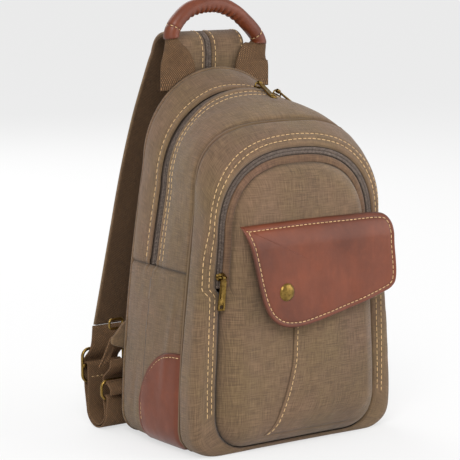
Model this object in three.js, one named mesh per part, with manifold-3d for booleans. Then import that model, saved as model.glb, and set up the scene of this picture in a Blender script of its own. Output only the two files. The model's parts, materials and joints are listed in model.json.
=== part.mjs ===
// Sling bag: canvas body with two zipped compartments, a flapped front pocket, a carrying handle and a
// wide strap that unzips down its middle.  Millimetres, +Z up, the front of the bag faces -Y, and the
// origin is the middle of the flat base.
import * as THREE from 'three';
import { mergeVertices } from 'three/addons/utils/BufferGeometryUtils.js';
import Module from 'manifold-3d';

const wasm = await Module();
wasm.setup();

// ---------------------------------------------------------------- driving dimensions
const GAP = 0.3;                 // clearance between faces that are sewn or riveted together

// Cross-sections of the body, from the back to the front.  y: place, base: half width at the base,
// crown: half width where the crown starts, crownZ: height there, top: height of the crown,
// power: 2 is a round crown, more is squarer.
const CORNER_R = 22;             // radius of the body's lower corners
const SIDE_POWER = 1.6;          // how late the sides draw in
const CROWN_R = 82;              // radius of the arch that the main zip follows
const ZIP_Y = 10;                // plane of the main zip
const ZIP_TOP = 313;
const ARCH_Z = ZIP_TOP - CROWN_R;
const BACK = { y: 45, base: 107, crown: 82, crownZ: 248, top: 330, power: 2 };
const ARCH = { y: ZIP_Y, base: 109, crown: CROWN_R, crownZ: ARCH_Z, top: ZIP_TOP, power: 2 };
const SEAM = { y: -48, base: 111, crown: 93, crownZ: 222, top: 289, power: 3 };
const SEAM_FRONT = { y: -50.2, base: 111, crown: 93, crownZ: 221, top: 288, power: 3 };
const FACE = { y: -72, base: 110, crown: 95, crownZ: 200, top: 272, power: 2.4 };
// Seam of the front panel, inside the face of the second compartment; its foot stands off the base.
const PANEL = { base: 87, crown: 79, crownZ: 190, top: 259, power: 2.5, floor: 7, corner: 30 };

const CLOTH = 2.4;               // canvas with its lining
const PAD = 6;                   // foam-filled back panel
const DIVIDER = 1.6;
const SIDE_SEAM_Z = 160;         // where the main zip ends on each side
const ZIP_WIDTH = 7;             // visible tape of the main and strap zips
const GUSSET_MID = -20;          // one more section of the front gusset, between its zip and its seam
const PAD_EDGE = { inset: 5, depth: 3 };      // rounding of the back panel's rear edge

const FRONT_ZIP = 6;             // visible width of the front zip
const FRONT_ZIP_END = 130;       // height at which the front zip stops on each side
const FACING_T = 1.8;
const FRONT_DEPTH = 17;          // how far the front panel stands out
const FRONT_T = 2;
// The front panel is a dish.  Its faces from the middle out, [inset from its seam, distance in front of
// the facing]: the inner face first, then the outer face, from the seam back to the middle.
const DISH_INSIDE = [[36, FRONT_DEPTH - FRONT_T], [17, FRONT_DEPTH - FRONT_T], [9, FRONT_DEPTH - 5],
  [3 + FRONT_T, 6], [FRONT_T, 0]];
const DISH_OUTSIDE = [[0, 0], [0.2, 1.4], [2.8, 2.4], [3, 8], [7, FRONT_DEPTH - 3.5],
  [15, FRONT_DEPTH - 0.3], [36, FRONT_DEPTH]];

const POCKET_TOP = 176;          // hem of the slip pocket under the flap
const POCKET_BULGE = 5.6;
const POCKET_T = 1.8;
const POCKET_RISE = 34;          // height in which the pocket swells to its full bulge
const POCKET_FOOT = PANEL.floor + 8;
const POCKET_MARGIN = 9;         // from the front panel's seam

const FLAP_HINGE_Z = 206;        // folded top edge of the flap, along which it turns
const FLAP_STANDOFF = 11;        // flap's back face in front of the front panel
const FLAP_RISE = 0.25;          // share of the flap's fall in which it reaches its standoff
const FLAP_T = 2;
const FLAP_LINING_T = 0.8;
// Corners and edge bows of the flap, [x, z]: long on its left, short on its right.
const FLAP = {
  topLeft: [-76, FLAP_HINGE_Z], topRight: [85, FLAP_HINGE_Z], lowLeft: [-47, 119], lowRight: [92, 143],
  bowLeft: [-66, 158], bowBottom: [-16, 100], bowRight: [93, 176],
};
const FLAP_MIDDLE = [4, 165];    // the lining is the flap drawn in towards this point,
const FLAP_REACH = 60;           // about this far away

const SNAP_X = -33;
const SNAP_Z = 145;
const SNAP_R = 7.5;
// Lathed profiles of the snap, [radius, distance forward].
const CAP_PROFILE = [[0, 0], [SNAP_R, 0], [SNAP_R, 0.7], [5.6, 1.7], [3, 2.2], [0, 2.3]];
const STUD_PROFILE = [[0, 0], [6, 0], [6, 0.8], [2, 1.2], [2, 2.2], [0, 2.4]];
const SOCKET_PROFILE = [[2.8, 0], [6.2, 0], [6.2, 1.2], [2.8, 1.2], [2.8, 0]];
const SOCKET_DEPTH = 1.2;

const WEB = 38;                  // webbing width
const WEB_T = 1.6;
const STRAP = 82;                // width of the two strap halves zipped together
const STRAP_T = 2.6;             // canvas outer of the strap
const STRAP_LEAN = 0.235;        // sideways run of the strap per unit of fall

const HANDLE_X = 42;             // each foot's distance from the middle
const FOLD_Z = 333;              // the webbing bends here when the handle is laid over,
const FOLD_GAP = 0.9;            // in this gap, which lets it turn clear of its foot,
const FOLD_W = 30;               // and is this wide
const FOLD_T = 1.2;              // and this thick there
const FAN = 14;                  // height in which the webbing gathers into the grip
const CORE = { width: 6, t: 4.6 };            // the webbing gathered inside the grip
const GRIP_R = 7;
const GRIP_BORE = 5.8;
// Middle of the grip, [x, z], from left to right.
const GRIP_LINE = [[-49, 361], [-42, 374], [-28, 384], [-8, 388], [14, 384], [32, 373], [50, 352]];

const SLIDER = {
  along: 10.4, across: 8, body: 2.6, bar: 3.6, barR: 0.8, post: 1.3, waist: 5.8, postDepth: 2.6,
};
const BAR_SEAT = 0.6;            // post above the bar's own radius
const PULL = { width: 6.6, length: 29, t: 1.4, knuckle: 2, bore: 1.15 };
const TAPE_FLAT = 5.5;           // the body is level across the main zip, this far each way
const MAIN_SLIDER_DEG = [14.5, 29.5];
const SLIDER_LIFT = 0.4;         // slider over the zip's teeth
const PULL_EASE = 0.035;         // radians that a main pull is kept off the cloth
const FRONT_SLIDER_Z = 160;
const FRONT_PULL_DEG = 4;        // the front and strap pulls hang this far off the cloth
const STRAP_PULL_DEG = 5;

const RING = { inner: 41, height: 14, wire: 1.6 };
const SLIDE = { inner: 42, height: 28, wire: 1.5 };
const RING_Y = 61.5;
const RING_Z = 30;               // lower bar of the rings
const LOOP_Y = 76.2;             // middle of the hanging loop of webbing
const LOOP_R = 16.6;             // its outer layer
const LAYER = 2.4;               // distance between two layers of webbing
const LOOSE = 0.7;               // webbing off the wire that it wraps
const CROSSING = 6;              // height in which the webbing passes from one side of a bar to the other
const TAB = { low: 12, high: 21, rise: 10 };  // a ring's tab: sewn ends below and above the ring, its slope
const SPARE_X = 78;              // the spare ring

const EAR = { low: 70, high: 108, root: 24, reach: 12, slope: 12, point: 17, t: 2.4, ringZ: 98 };
const EAR_RING = { inner: 12, height: 6, wire: 1.3 };
const TAIL = { width: 12, fall: 27, drift: 13, skew: 3 };     // webbing end held by the ear's ring

const PATCH = { height: 96, depth: 58, t: 1.6, lift: 0.8, power: 2.6 };

// ---------------------------------------------------------------- materials
const finish = (color, roughness, metalness = 0) => () =>
  new THREE.MeshStandardMaterial({ color, roughness, metalness });
const canvas = finish(0x8a765f, 0.9);
const leather = finish(0x95502a, 0.5);
const webbing = finish(0x5a4230, 0.85);
const brass = finish(0x7d6332, 0.35, 1);
const teeth = finish(0x4d4138, 0.6);
const padding = finish(0x7c6a55, 0.95);

// ---------------------------------------------------------------- solids
const bag = new THREE.Group();

function add(name, geometry, material) {
  const mesh = new THREE.Mesh(geometry, material());
  mesh.name = name;
  bag.add(mesh);
  return mesh;
}

// A BufferGeometry from points and triangles, turned inside out when its volume comes out negative.
function solid(points, triangles) {
  let volume = 0;
  for (const [a, b, c] of triangles) {
    volume += points[a].dot(new THREE.Vector3().crossVectors(points[b], points[c]));
  }
  const faces = volume < 0 ? triangles.map(([a, b, c]) => [a, c, b]) : triangles;
  const geometry = new THREE.BufferGeometry().setFromPoints(points);
  geometry.setIndex(faces.flat());
  return geometry;
}

// Rings of points joined one to the next; the first and last are closed by a fan, or to each other.
function loft(rings, closed = false) {
  const size = rings[0].length;
  const points = rings.flat();
  const triangles = [];
  const steps = closed ? rings.length : rings.length - 1;
  for (let i = 0; i < steps; i += 1) {
    const here = i * size;
    const next = ((i + 1) % rings.length) * size;
    for (let j = 0; j < size; j += 1) {
      const k = (j + 1) % size;
      triangles.push([here + j, here + k, next + k], [here + j, next + k, next + j]);
    }
  }
  if (!closed) {
    const ends = [[0, rings[0], true], [(rings.length - 1) * size, rings.at(-1), false]];
    for (const [start, ring, flip] of ends) {
      const middle = ring.reduce((sum, p) => sum.add(p), new THREE.Vector3()).divideScalar(size);
      points.push(middle);
      for (let j = 0; j < size; j += 1) {
        const face = [start + j, start + ((j + 1) % size), points.length - 1];
        triangles.push(flip ? face.reverse() : face);
      }
    }
  }
  return solid(points, triangles);
}

// A sheet with thickness: two grids of points, front and back, closed around their edge.
function sheet(front, back, wrap = false) {
  const rings = front.map((row, i) => wrap ? null : [...row, ...[...back[i]].reverse()]);
  if (!wrap) return loftFlat(rings, front[0].length);
  const across = [...front, ...[...back].reverse()];
  return loft(across, true);
}

// A loft whose end rings are long thin strips, closed as strips rather than fans.
function loftFlat(rings, half) {
  const size = rings[0].length;
  const points = rings.flat();
  const triangles = [];
  for (let i = 0; i < rings.length - 1; i += 1) {
    for (let j = 0; j < size; j += 1) {
      const k = (j + 1) % size;
      const [a, b] = [i * size, (i + 1) * size];
      triangles.push([a + j, a + k, b + k], [a + j, b + k, b + j]);
    }
  }
  for (const [start, flip] of [[0, true], [(rings.length - 1) * size, false]]) {
    for (let j = 0; j < half - 1; j += 1) {
      const quad = [start + j, start + j + 1, start + size - 2 - j, start + size - 1 - j];
      const pair = [[quad[0], quad[1], quad[2]], [quad[0], quad[2], quad[3]]];
      triangles.push(...(flip ? pair.map((face) => face.reverse()) : pair));
    }
  }
  return solid(points, triangles);
}

function toManifold(geometry) {
  let bare = geometry.index ? geometry.clone() : geometry;
  bare.deleteAttribute('normal');
  bare.deleteAttribute('uv');
  bare = mergeVertices(bare, 1e-4);
  return new wasm.Manifold(new wasm.Mesh({
    numProp: 3,
    vertProperties: new Float32Array(bare.attributes.position.array),
    triVerts: new Uint32Array(bare.index.array),
  }));
}

function union(...geometries) {
  const mesh = geometries.map(toManifold).reduce((sum, next) => sum.add(next)).getMesh();
  const geometry = new THREE.BufferGeometry();
  geometry.setAttribute('position', new THREE.BufferAttribute(mesh.vertProperties, 3));
  geometry.setIndex(new THREE.BufferAttribute(mesh.triVerts, 1));
  return geometry;
}

// ---------------------------------------------------------------- the body's outline
const STEPS = { base: 2, corner: 4, low: 4, high: 3, crown: 9 };
const HALF = STEPS.base + STEPS.corner + STEPS.low + STEPS.high + STEPS.crown;
const CORNER_END = STEPS.base + STEPS.corner;
const SEAM_END = CORNER_END + STEPS.low;

const mix = (a, b, t) => a + (b - a) * t;
const span = (count, from, to) => Array.from({ length: count + 1 }, (_, i) => mix(from, to, i / count));

const cornerOf = (s) => s.corner ?? CORNER_R;
const footOf = (s) => (s.floor ?? 0) + cornerOf(s);

function halfWidth(s, z) {
  const foot = footOf(s);
  const u = Math.min(1, Math.max(0, (z - foot) / (s.crownZ - foot)));
  if (z <= s.crownZ) return mix(s.base, s.crown, u ** SIDE_POWER);
  const v = Math.min(1, (z - s.crownZ) / (s.top - s.crownZ));
  return s.crown * (1 - v ** s.power) ** (1 / s.power);
}

// Right half of a section, from the middle of the base to the top: [x, z] pairs.
function halfOutline(s) {
  const [r, foot] = [cornerOf(s), footOf(s)];
  const line = span(STEPS.base, 0, s.base - r).map((x) => [x, foot - r]);
  const corner = span(STEPS.corner, 0, Math.PI / 2).slice(1).map((a) =>
    [s.base - r + r * Math.sin(a), foot - r * Math.cos(a)]);
  const low = span(STEPS.low, foot, SIDE_SEAM_Z).slice(1).map((z) => [halfWidth(s, z), z]);
  const high = span(STEPS.high, SIDE_SEAM_Z, s.crownZ).slice(1).map((z) => [halfWidth(s, z), z]);
  const crown = span(STEPS.crown, 0, Math.PI / 2).slice(1).map((a) => [
    s.crown * Math.max(0, Math.cos(a)) ** (2 / s.power),
    s.crownZ + (s.top - s.crownZ) * Math.sin(a) ** (2 / s.power)]);
  return [...line, ...corner, ...low, ...high, ...crown];
}

// The whole ring, drawn in by `inset` square to the outline: up the right side and down the left.
function outline(s, inset = 0) {
  const right = halfOutline(s);
  const ring = [...right, ...right.slice(1, -1).reverse().map(([x, z]) => [-x, z])];
  const last = ring.length;
  return ring.map(([x, z], i) => {
    const [ax, az] = ring[(i + last - 1) % last];
    const [bx, bz] = ring[(i + 1) % last];
    const length = Math.hypot(bx - ax, bz - az);
    return [x - inset * (bz - az) / length, z + inset * (bx - ax) / length];
  });
}

const atY = (ring, y) => ring.map(([x, z]) => new THREE.Vector3(x, y, z));

function between(a, b, y) {
  const t = (y - a.y) / (b.y - a.y);
  const part = (key) => mix(a[key], b[key], t);
  return { y, base: part('base'), crown: part('crown'), crownZ: part('crownZ'), top: part('top'),
    power: part('power') };
}
const ARCH_REAR = { ...ARCH, y: ZIP_Y + TAPE_FLAT };
const ARCH_FRONT = { ...ARCH, y: ZIP_Y - TAPE_FLAT };
function mainSection(y) {
  if (y > ARCH_REAR.y) return between(BACK, ARCH_REAR, y);
  return y < ARCH_FRONT.y ? between(ARCH_FRONT, SEAM, y) : { ...ARCH, y };
}
const frontSection = (y) => between(SEAM_FRONT, FACE, y);

// A band of cloth around the body through the sections at `places`, over part of the ring.
function band(section, places, from, to, thickness = CLOTH) {
  const cut = (inset) => places.map((y) => atY(outline(section(y), inset), y).slice(from, to + 1));
  return sheet(cut(0), cut(thickness));
}

function bodyBands() {
  const overTop = [SEAM_END, 2 * HALF - SEAM_END];
  const zipEdge = ZIP_WIDTH / 2 + GAP / 2;
  const main = (places, range) => band(mainSection, places, ...range);
  add('rear_gusset', main([BACK.y, ARCH_REAR.y, ZIP_Y + zipEdge], overTop), canvas);
  add('main_zip_chain', main([ZIP_Y + zipEdge - GAP, ZIP_Y, ZIP_Y - zipEdge + GAP], overTop), teeth);
  add('front_gusset', main([ZIP_Y - zipEdge, ARCH_FRONT.y, GUSSET_MID, SEAM.y], overTop), canvas);
}

// Side panels and base start and stop a little inside the ring's points, so that they clear each other.
function sidesAndBase() {
  const trim = (section, places, low, high, thickness = CLOTH) => {
    const rows = (inset) => places.map((y) => {
      const s = section(y);
      const zs = span(STEPS.low, low, high);
      return zs.map((z) => new THREE.Vector3(halfWidth(s, z) - inset, y, z));
    });
    return sheet(rows(0), rows(thickness));
  };
  const places = [BACK.y, ARCH_REAR.y, ARCH_FRONT.y, GUSSET_MID, SEAM.y];
  const side = trim(mainSection, places, CORNER_R + GAP, SIDE_SEAM_Z - 3 * GAP);
  add('side_panel_right', side, canvas);
  add('side_panel_left', mirrored(side), canvas);
  const base = (section, ys) => {
    const rows = (inset) => ys.map((y) => {
      const ring = atY(outline(section(y), inset), y);
      return [...ring.slice(2 * HALF - CORNER_END), ...ring.slice(0, CORNER_END + 1)];
    });
    return sheet(rows(0), rows(CLOTH));
  };
  add('base_panel', base(mainSection, places), canvas);
}

// Triangles turned over, which a mirror image needs to face outwards again.
function turned(geometry) {
  const index = geometry.index.array;
  for (let i = 0; i < index.length; i += 3) [index[i + 1], index[i + 2]] = [index[i + 2], index[i + 1]];
  return geometry;
}

const mirrored = (geometry) => turned(geometry.clone().scale(-1, 1, 1));

// A flat or domed panel: rings given as [inset, y], first to last.
function panel(section, rings) {
  return loft(rings.map(([inset, y]) => atY(outline(section, inset), y)));
}

function panels() {
  const back = BACK.y + GAP;
  const { inset, depth } = PAD_EDGE;
  add('back_panel', panel(BACK, [[0, back], [0, back + PAD - depth], [inset, back + PAD]]), padding);
  const divider = SEAM.y - GAP;
  add('divider_panel', panel(SEAM, [[0, divider], [0, divider - DIVIDER]]), canvas);
  const ys = [SEAM_FRONT.y, (SEAM_FRONT.y + FACE.y) / 2, FACE.y];
  const rows = (inset) => ys.map((y) => atY(outline(frontSection(y), inset), y));
  add('section_gusset', sheet(rows(0), rows(CLOTH), true), canvas);
}

// ---------------------------------------------------------------- front of the second compartment
const FACING_Y = FACE.y - GAP;
const FRONT_Y = FACING_Y - FRONT_DEPTH;

const frontZipEnd = halfOutline(PANEL).findIndex(([, z]) => z >= FRONT_ZIP_END);

function frontFace() {
  const end = frontZipEnd;
  const outer = outline(FACE);
  const atZip = outline(PANEL, -FRONT_ZIP - 2 * GAP);
  const atSeam = outline(PANEL, -GAP);
  const inner = outer.map((_, i) => (i >= end && i <= 2 * HALF - end ? atZip[i] : atSeam[i]));
  const rows = (ring) => [atY(ring, FACING_Y), atY(ring, FACING_Y - FACING_T)];
  add('section_facing', sheet(rows(outer), rows(inner), true), canvas);

  const [from, to] = [end + 1, 2 * HALF - end - 1];
  const strip = (inset) => [FACING_Y - 0.2, FACING_Y - FACING_T].map((y) =>
    atY(outline(PANEL, inset), y).slice(from, to + 1));
  add('front_zip_chain', sheet(strip(-FRONT_ZIP - GAP), strip(-GAP)), teeth);

  add('front_panel', panel(PANEL, [...DISH_INSIDE, ...DISH_OUTSIDE].map(([inset, depth]) =>
    [inset, FACING_Y - depth])), canvas);
}

// The slip pocket: a sheet that stands off the front panel and touches it along its sides and foot.
function pocketHalf(z) {
  const round = Math.max(0, 1 - (z - POCKET_FOOT) / PANEL.corner);
  return halfWidth(PANEL, z) - POCKET_MARGIN - PANEL.corner * (1 - Math.sqrt(1 - round ** 2));
}
const pocketFace = (bulge) => FRONT_Y - GAP - POCKET_T - POCKET_BULGE * bulge;

function pocket() {
  const rows = (back) => span(9, POCKET_FOOT, POCKET_TOP).map((z) => {
    const v = Math.min(1, (z - POCKET_FOOT) / POCKET_RISE);
    return span(10, -1, 1).map((u) => {
      const bulge = (1 - Math.abs(u) ** 8) * Math.sin(v * Math.PI / 2);
      return new THREE.Vector3(u * pocketHalf(z), pocketFace(bulge) + back, z);
    });
  });
  add('pocket_panel', sheet(rows(0), rows(POCKET_T)), canvas);
}

// ---------------------------------------------------------------- flap and snap
const quadratic = (a, b, c) => (t) => [0, 1].map((k) =>
  (1 - t) ** 2 * a[k] + 2 * t * (1 - t) * b[k] + t * t * c[k]);

// Point of the flap at u across and v down: its four edges blended, then drawn in by about `inset`.
function flapPoint(u, v, inset = 0) {
  const top = [mix(FLAP.topLeft[0], FLAP.topRight[0], u), FLAP.topLeft[1]];
  const bottom = quadratic(FLAP.lowLeft, FLAP.bowBottom, FLAP.lowRight)(u);
  const left = quadratic(FLAP.topLeft, FLAP.bowLeft, FLAP.lowLeft)(v);
  const right = quadratic(FLAP.topRight, FLAP.bowRight, FLAP.lowRight)(v);
  const point = [0, 1].map((k) => mix(top[k], bottom[k], v) + mix(left[k], right[k], u)
    - mix(mix(FLAP.topLeft[k], FLAP.lowLeft[k], v), mix(FLAP.topRight[k], FLAP.lowRight[k], v), u));
  return [0, 1].map((k) => mix(FLAP_MIDDLE[k], point[k], 1 - inset / FLAP_REACH));
}

// Distance of the flap's back face from the front panel: sewn down at its top, then standing off.
const flapOff = (v) => GAP + (FLAP_STANDOFF - GAP) * Math.sin(Math.min(1, v / FLAP_RISE) * Math.PI / 2);

function flap() {
  const face = (inset, off) => span(8, 0, 1).map((v) => span(8, 0, 1).map((u) => {
    const [x, z] = flapPoint(u, v, inset);
    return new THREE.Vector3(x, FRONT_Y - flapOff(v) - off, z);
  }));
  const lining = FLAP_LINING_T;
  add('flap_lining', sheet(face(2, 0), face(2, lining)), canvas);
  add('flap', sheet(face(0, lining + GAP), face(0, lining + GAP + FLAP_T)), leather);
}

// A lathed brass disc, its profile pushed `forward` of the front panel's face.
function disc(name, profile, forward) {
  const lathe = new THREE.LatheGeometry(profile.map(([r, y]) => new THREE.Vector2(r, y + forward)), 24);
  const mesh = add(name, turned(lathe.scale(1, -1, 1)), brass);
  mesh.position.set(SNAP_X, FRONT_Y, SNAP_Z);
}

function snap() {
  disc('snap_cap', CAP_PROFILE, FLAP_STANDOFF + FLAP_LINING_T + GAP + FLAP_T + GAP);
  disc('snap_stud', STUD_PROFILE, GAP + POCKET_T + POCKET_BULGE + GAP);
  disc('snap_socket', SOCKET_PROFILE, FLAP_STANDOFF - GAP - SOCKET_DEPTH);
}

// ---------------------------------------------------------------- leather corner patches
// Quarter-round leather on each side panel, from the front seam back, wrapping the lower corner.
function patches() {
  const rows = (off) => span(8, 0, 1).map((v) => {
    const y = SEAM.y + v * PATCH.depth;
    const s = mainSection(y);
    const high = CORNER_R + 2 + (PATCH.height - CORNER_R) * Math.sqrt(Math.max(0, 1 - v ** PATCH.power));
    const corner = span(5, 0.6, Math.PI / 2).map((a) =>
      [s.base - CORNER_R + (CORNER_R + off) * Math.sin(a), CORNER_R - (CORNER_R + off) * Math.cos(a)]);
    const side = span(5, CORNER_R, high).slice(1).map((z) => [halfWidth(s, z) + off, z]);
    return [...corner, ...side].map(([x, z]) => new THREE.Vector3(x, y, z));
  });
  const patch = sheet(rows(PATCH.lift + PATCH.t), rows(PATCH.lift));
  add('corner_patch_right', patch, leather);
  add('corner_patch_left', mirrored(patch), leather);
}

// ---------------------------------------------------------------- zip sliders and pulls
// Slider in its own frame: X along its bar, Y across, Z off the zip, standing on z = 0.
function sliderGeometry() {
  const { along, across, body, bar, barR, post, waist, postDepth } = SLIDER;
  const box = (x, y, z, px, pz) => new THREE.BoxGeometry(x, y, z).translate(px, 0, pz);
  const barZ = body + bar;
  const rod = new THREE.CylinderGeometry(barR, barR, along - post, 10)
    .rotateZ(Math.PI / 2).translate(0, 0, barZ);
  const side = (along - post) / 2;
  const tall = bar + barR + BAR_SEAT;
  const posts = [-side, side].map((x) => box(post, postDepth, tall, x, body + tall / 2 - GAP / 2));
  const rounded = new THREE.CylinderGeometry(across / 2, across / 2, body, 16).rotateX(Math.PI / 2);
  return union(box(along, waist, body, 0, body / 2), rounded.translate(0, 0, body / 2), ...posts, rod);
}

// Pull in its own frame: its knuckle turns about the X axis and its tab runs out along -Y.
function pullGeometry() {
  const { width, length, t, knuckle, bore } = PULL;
  const ring = new THREE.Shape().absarc(0, 0, knuckle, 0, 2 * Math.PI, false);
  ring.holes.push(new THREE.Path().absarc(0, 0, bore, 0, 2 * Math.PI, true));
  const sleeve = new THREE.ExtrudeGeometry(ring, { depth: width, bevelEnabled: false, curveSegments: 8 })
    .translate(0, 0, -width / 2).rotateY(Math.PI / 2);
  const root = (bore + knuckle) / 2;
  const tab = new THREE.BoxGeometry(width, length - root, t).translate(0, -(length + root) / 2, 0);
  return union(sleeve, tab);
}

const barHeight = SLIDER_LIFT + SLIDER.body + SLIDER.bar;

function addSlider(name, frame, pullTurn) {
  const slider = add(`${name}_slider`, sliderGeometry(), brass);
  slider.applyMatrix4(frame.clone().multiply(new THREE.Matrix4().makeTranslation(0, 0, SLIDER_LIFT)));
  const pull = add(`${name}_pull`, pullGeometry(), brass);
  pull.applyMatrix4(frame.clone()
    .multiply(new THREE.Matrix4().makeTranslation(0, 0, barHeight))
    .multiply(new THREE.Matrix4().makeRotationX(pullTurn)));
}

// Distance from the arch's centre to a section's outline, `turn` radians from straight up.
function reachOf(section, turn) {
  let [near, far] = [0, 2 * CROWN_R];
  for (let i = 0; i < 40; i += 1) {
    const r = (near + far) / 2;
    const [x, z] = [r * Math.abs(Math.sin(turn)), ARCH_Z + r * Math.cos(turn)];
    if (z < section.top && x < halfWidth(section, z)) near = r;
    else far = r;
  }
  return near;
}

// Main sliders ride the arch; each pull lies on the gusset in front of it.
function mainSliders() {
  MAIN_SLIDER_DEG.forEach((degrees, i) => {
    const turn = THREE.MathUtils.degToRad(degrees);
    const frame = new THREE.Matrix4().makeTranslation(0, ZIP_Y, ARCH_Z)
      .multiply(new THREE.Matrix4().makeRotationY(turn))
      .multiply(new THREE.Matrix4().makeTranslation(0, 0, CROWN_R));
    // The steepest droop at which the tab still clears the cloth everywhere below it.
    const droops = span(10, ARCH_FRONT.y, ZIP_Y - PULL.length).map((y) => {
      const drop = barHeight + CROWN_R - reachOf(mainSection(y), turn);
      return Math.atan2(drop, ZIP_Y - y) - Math.atan2(PULL.t / 2, ZIP_Y - y);
    });
    addSlider(['main_left', 'main_right'][i], frame, Math.min(...droops) - PULL_EASE);
  });
}

// The front slider stands at the foot of the front zip's left side, its pull hanging straight down.
const zipLineX = (z) => -(halfWidth(PANEL, z) + GAP + FRONT_ZIP / 2);
function frontSlider() {
  const x = zipLineX(FRONT_SLIDER_Z);
  const lean = Math.atan2(zipLineX(PANEL.crownZ) - x, PANEL.crownZ - FRONT_SLIDER_Z);
  const frame = new THREE.Matrix4().makeTranslation(x, FACING_Y - FACING_T, FRONT_SLIDER_Z)
    .multiply(new THREE.Matrix4().makeRotationY(lean))
    .multiply(new THREE.Matrix4().makeRotationX(Math.PI / 2));
  addSlider('front', frame, THREE.MathUtils.degToRad(FRONT_PULL_DEG));
}

// ---------------------------------------------------------------- strap
// Middle of the strap, [y, z], from the top seam over the curl and down behind the bag.
const STRAP_LINE = [[54.6, 318], [54.6, 330], [54.2, 344], [57, 355], [67, 360], [78, 355], [85, 342],
  [91, 316], [96, 284], [98.6, 250], [99, 215], [98, 180], [97, 145], [96, 110], [95.5, 92.5]];
const STRAP_MIDDLE = -5;
const LEAN_FROM = 342;           // below this height, behind the bag, the strap runs aside
const CURL_STEPS = 6;            // stretches of the line from the seam over the curl

// Sideways middle of the strap at height z; the curl above the bag is square to it.
const strapX = (z, side) => STRAP_MIDDLE - (side ? STRAP_LEAN * Math.max(0, LEAN_FROM - z) : 0);

// A smooth line through [y, z] points, with `steps` points from each to the next.
function smooth(points, steps) {
  const places = points.map(([y, z]) => new THREE.Vector3(0, y, z));
  const curve = new THREE.CatmullRomCurve3(places, false, 'centripetal');
  return curve.getPoints(steps * (points.length - 1));
}

// A ribbon along a line in the YZ plane: width along X about middle(i), thickness square to the line.
function ribbon(line, middle, width, low, high) {
  const rings = line.map((p, i) => {
    const before = line[Math.max(0, i - 1)];
    const after = line[Math.min(line.length - 1, i + 1)];
    const along = after.clone().sub(before).normalize();
    const off = new THREE.Vector3(0, -along.z, along.y);
    const x = middle(p, i);
    return [[-1, low], [1, low], [1, high], [-1, high]].map(([side, t]) =>
      p.clone().addScaledVector(off, t).setX(x + side * width / 2));
  });
  return loft(rings);
}

const STRAP_STEPS = 4;
const strapLine = smooth(STRAP_LINE, STRAP_STEPS);
const strapMiddle = (p, i) => strapX(p.z, i > CURL_STEPS * STRAP_STEPS);

function strap() {
  const half = (STRAP - ZIP_WIDTH) / 2 - GAP;
  const shift = (ZIP_WIDTH + half) / 2 + GAP;
  const outer = [GAP, GAP + STRAP_T];
  for (const [side, name] of [[-1, 'left'], [1, 'right']]) {
    const middle = (p, i) => strapMiddle(p, i) + side * shift;
    add(`strap_pad_${name}`, ribbon(strapLine, middle, half, ...outer), canvas);
    add(`strap_lining_${name}`, ribbon(strapLine, middle, half, -WEB_T, 0), webbing);
  }
  add('strap_zip_chain', ribbon(strapLine, strapMiddle, ZIP_WIDTH, GAP + 0.4, GAP + STRAP_T), teeth);
}

const STRAP_SLIDER = 52;         // point of the strap's line where its slider stands
function strapSlider() {
  const p = strapLine[STRAP_SLIDER];
  const q = strapLine[STRAP_SLIDER - STRAP_STEPS];
  const fall = Math.atan2(q.y - p.y, q.z - p.z);
  const lean = Math.atan(STRAP_LEAN);
  const frame = new THREE.Matrix4().makeTranslation(strapX(p.z, true), p.y, p.z)
    .multiply(new THREE.Matrix4().makeRotationX(-fall))
    .multiply(new THREE.Matrix4().makeRotationY(lean))
    .multiply(new THREE.Matrix4().makeTranslation(0, STRAP_T + GAP, 0))
    .multiply(new THREE.Matrix4().makeRotationZ(Math.PI))
    .multiply(new THREE.Matrix4().makeRotationX(Math.PI / 2));
  addSlider('strap', frame, THREE.MathUtils.degToRad(STRAP_PULL_DEG));
}

// ---------------------------------------------------------------- adjusters
// A rounded rectangle of wire in the XZ plane, its lower bar's middle at the origin.
function wireLoop({ inner, height, wire }, sides = 6) {
  const [w, h, r] = [inner / 2 + wire, height + 2 * wire, Math.min(5, height / 2)];
  const path = new THREE.Path();
  path.moveTo(-w + r, 0).lineTo(w - r, 0).absarc(w - r, r, r, -Math.PI / 2, 0, false);
  path.lineTo(w, h - r).absarc(w - r, h - r, r, 0, Math.PI / 2, false);
  path.lineTo(-w + r, h).absarc(-w + r, h - r, r, Math.PI / 2, Math.PI, false);
  path.lineTo(-w, r).absarc(-w + r, r, r, Math.PI, 1.5 * Math.PI, false);
  const points = mergePoints(path.getPoints(4));
  const rings = points.map((p, i) => {
    const a = points[(i + points.length - 1) % points.length];
    const b = points[(i + 1) % points.length];
    const along = new THREE.Vector2(b.x - a.x, b.y - a.y).normalize();
    return Array.from({ length: sides }, (_, k) => {
      const turn = 2 * Math.PI * (k + 0.5) / sides;
      const out = wire * Math.cos(turn);
      return new THREE.Vector3(p.x + along.y * out, wire * Math.sin(turn), p.y - along.x * out);
    });
  });
  return loft(rings, true);
}

function mergePoints(points) {
  const kept = points.filter((p, i) => i === 0 || p.distanceTo(points[i - 1]) > 0.01);
  return kept[0].distanceTo(kept.at(-1)) < 0.01 ? kept.slice(0, -1) : kept;
}

const bars = SLIDE.height + 2 * SLIDE.wire;   // lower bar to upper bar of a slide
const BACK_Y = BACK.y + GAP + PAD;
const WRAP = SLIDE.wire + LOOSE + WEB_T / 2;    // webbing's middle around a slide's bar

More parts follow.
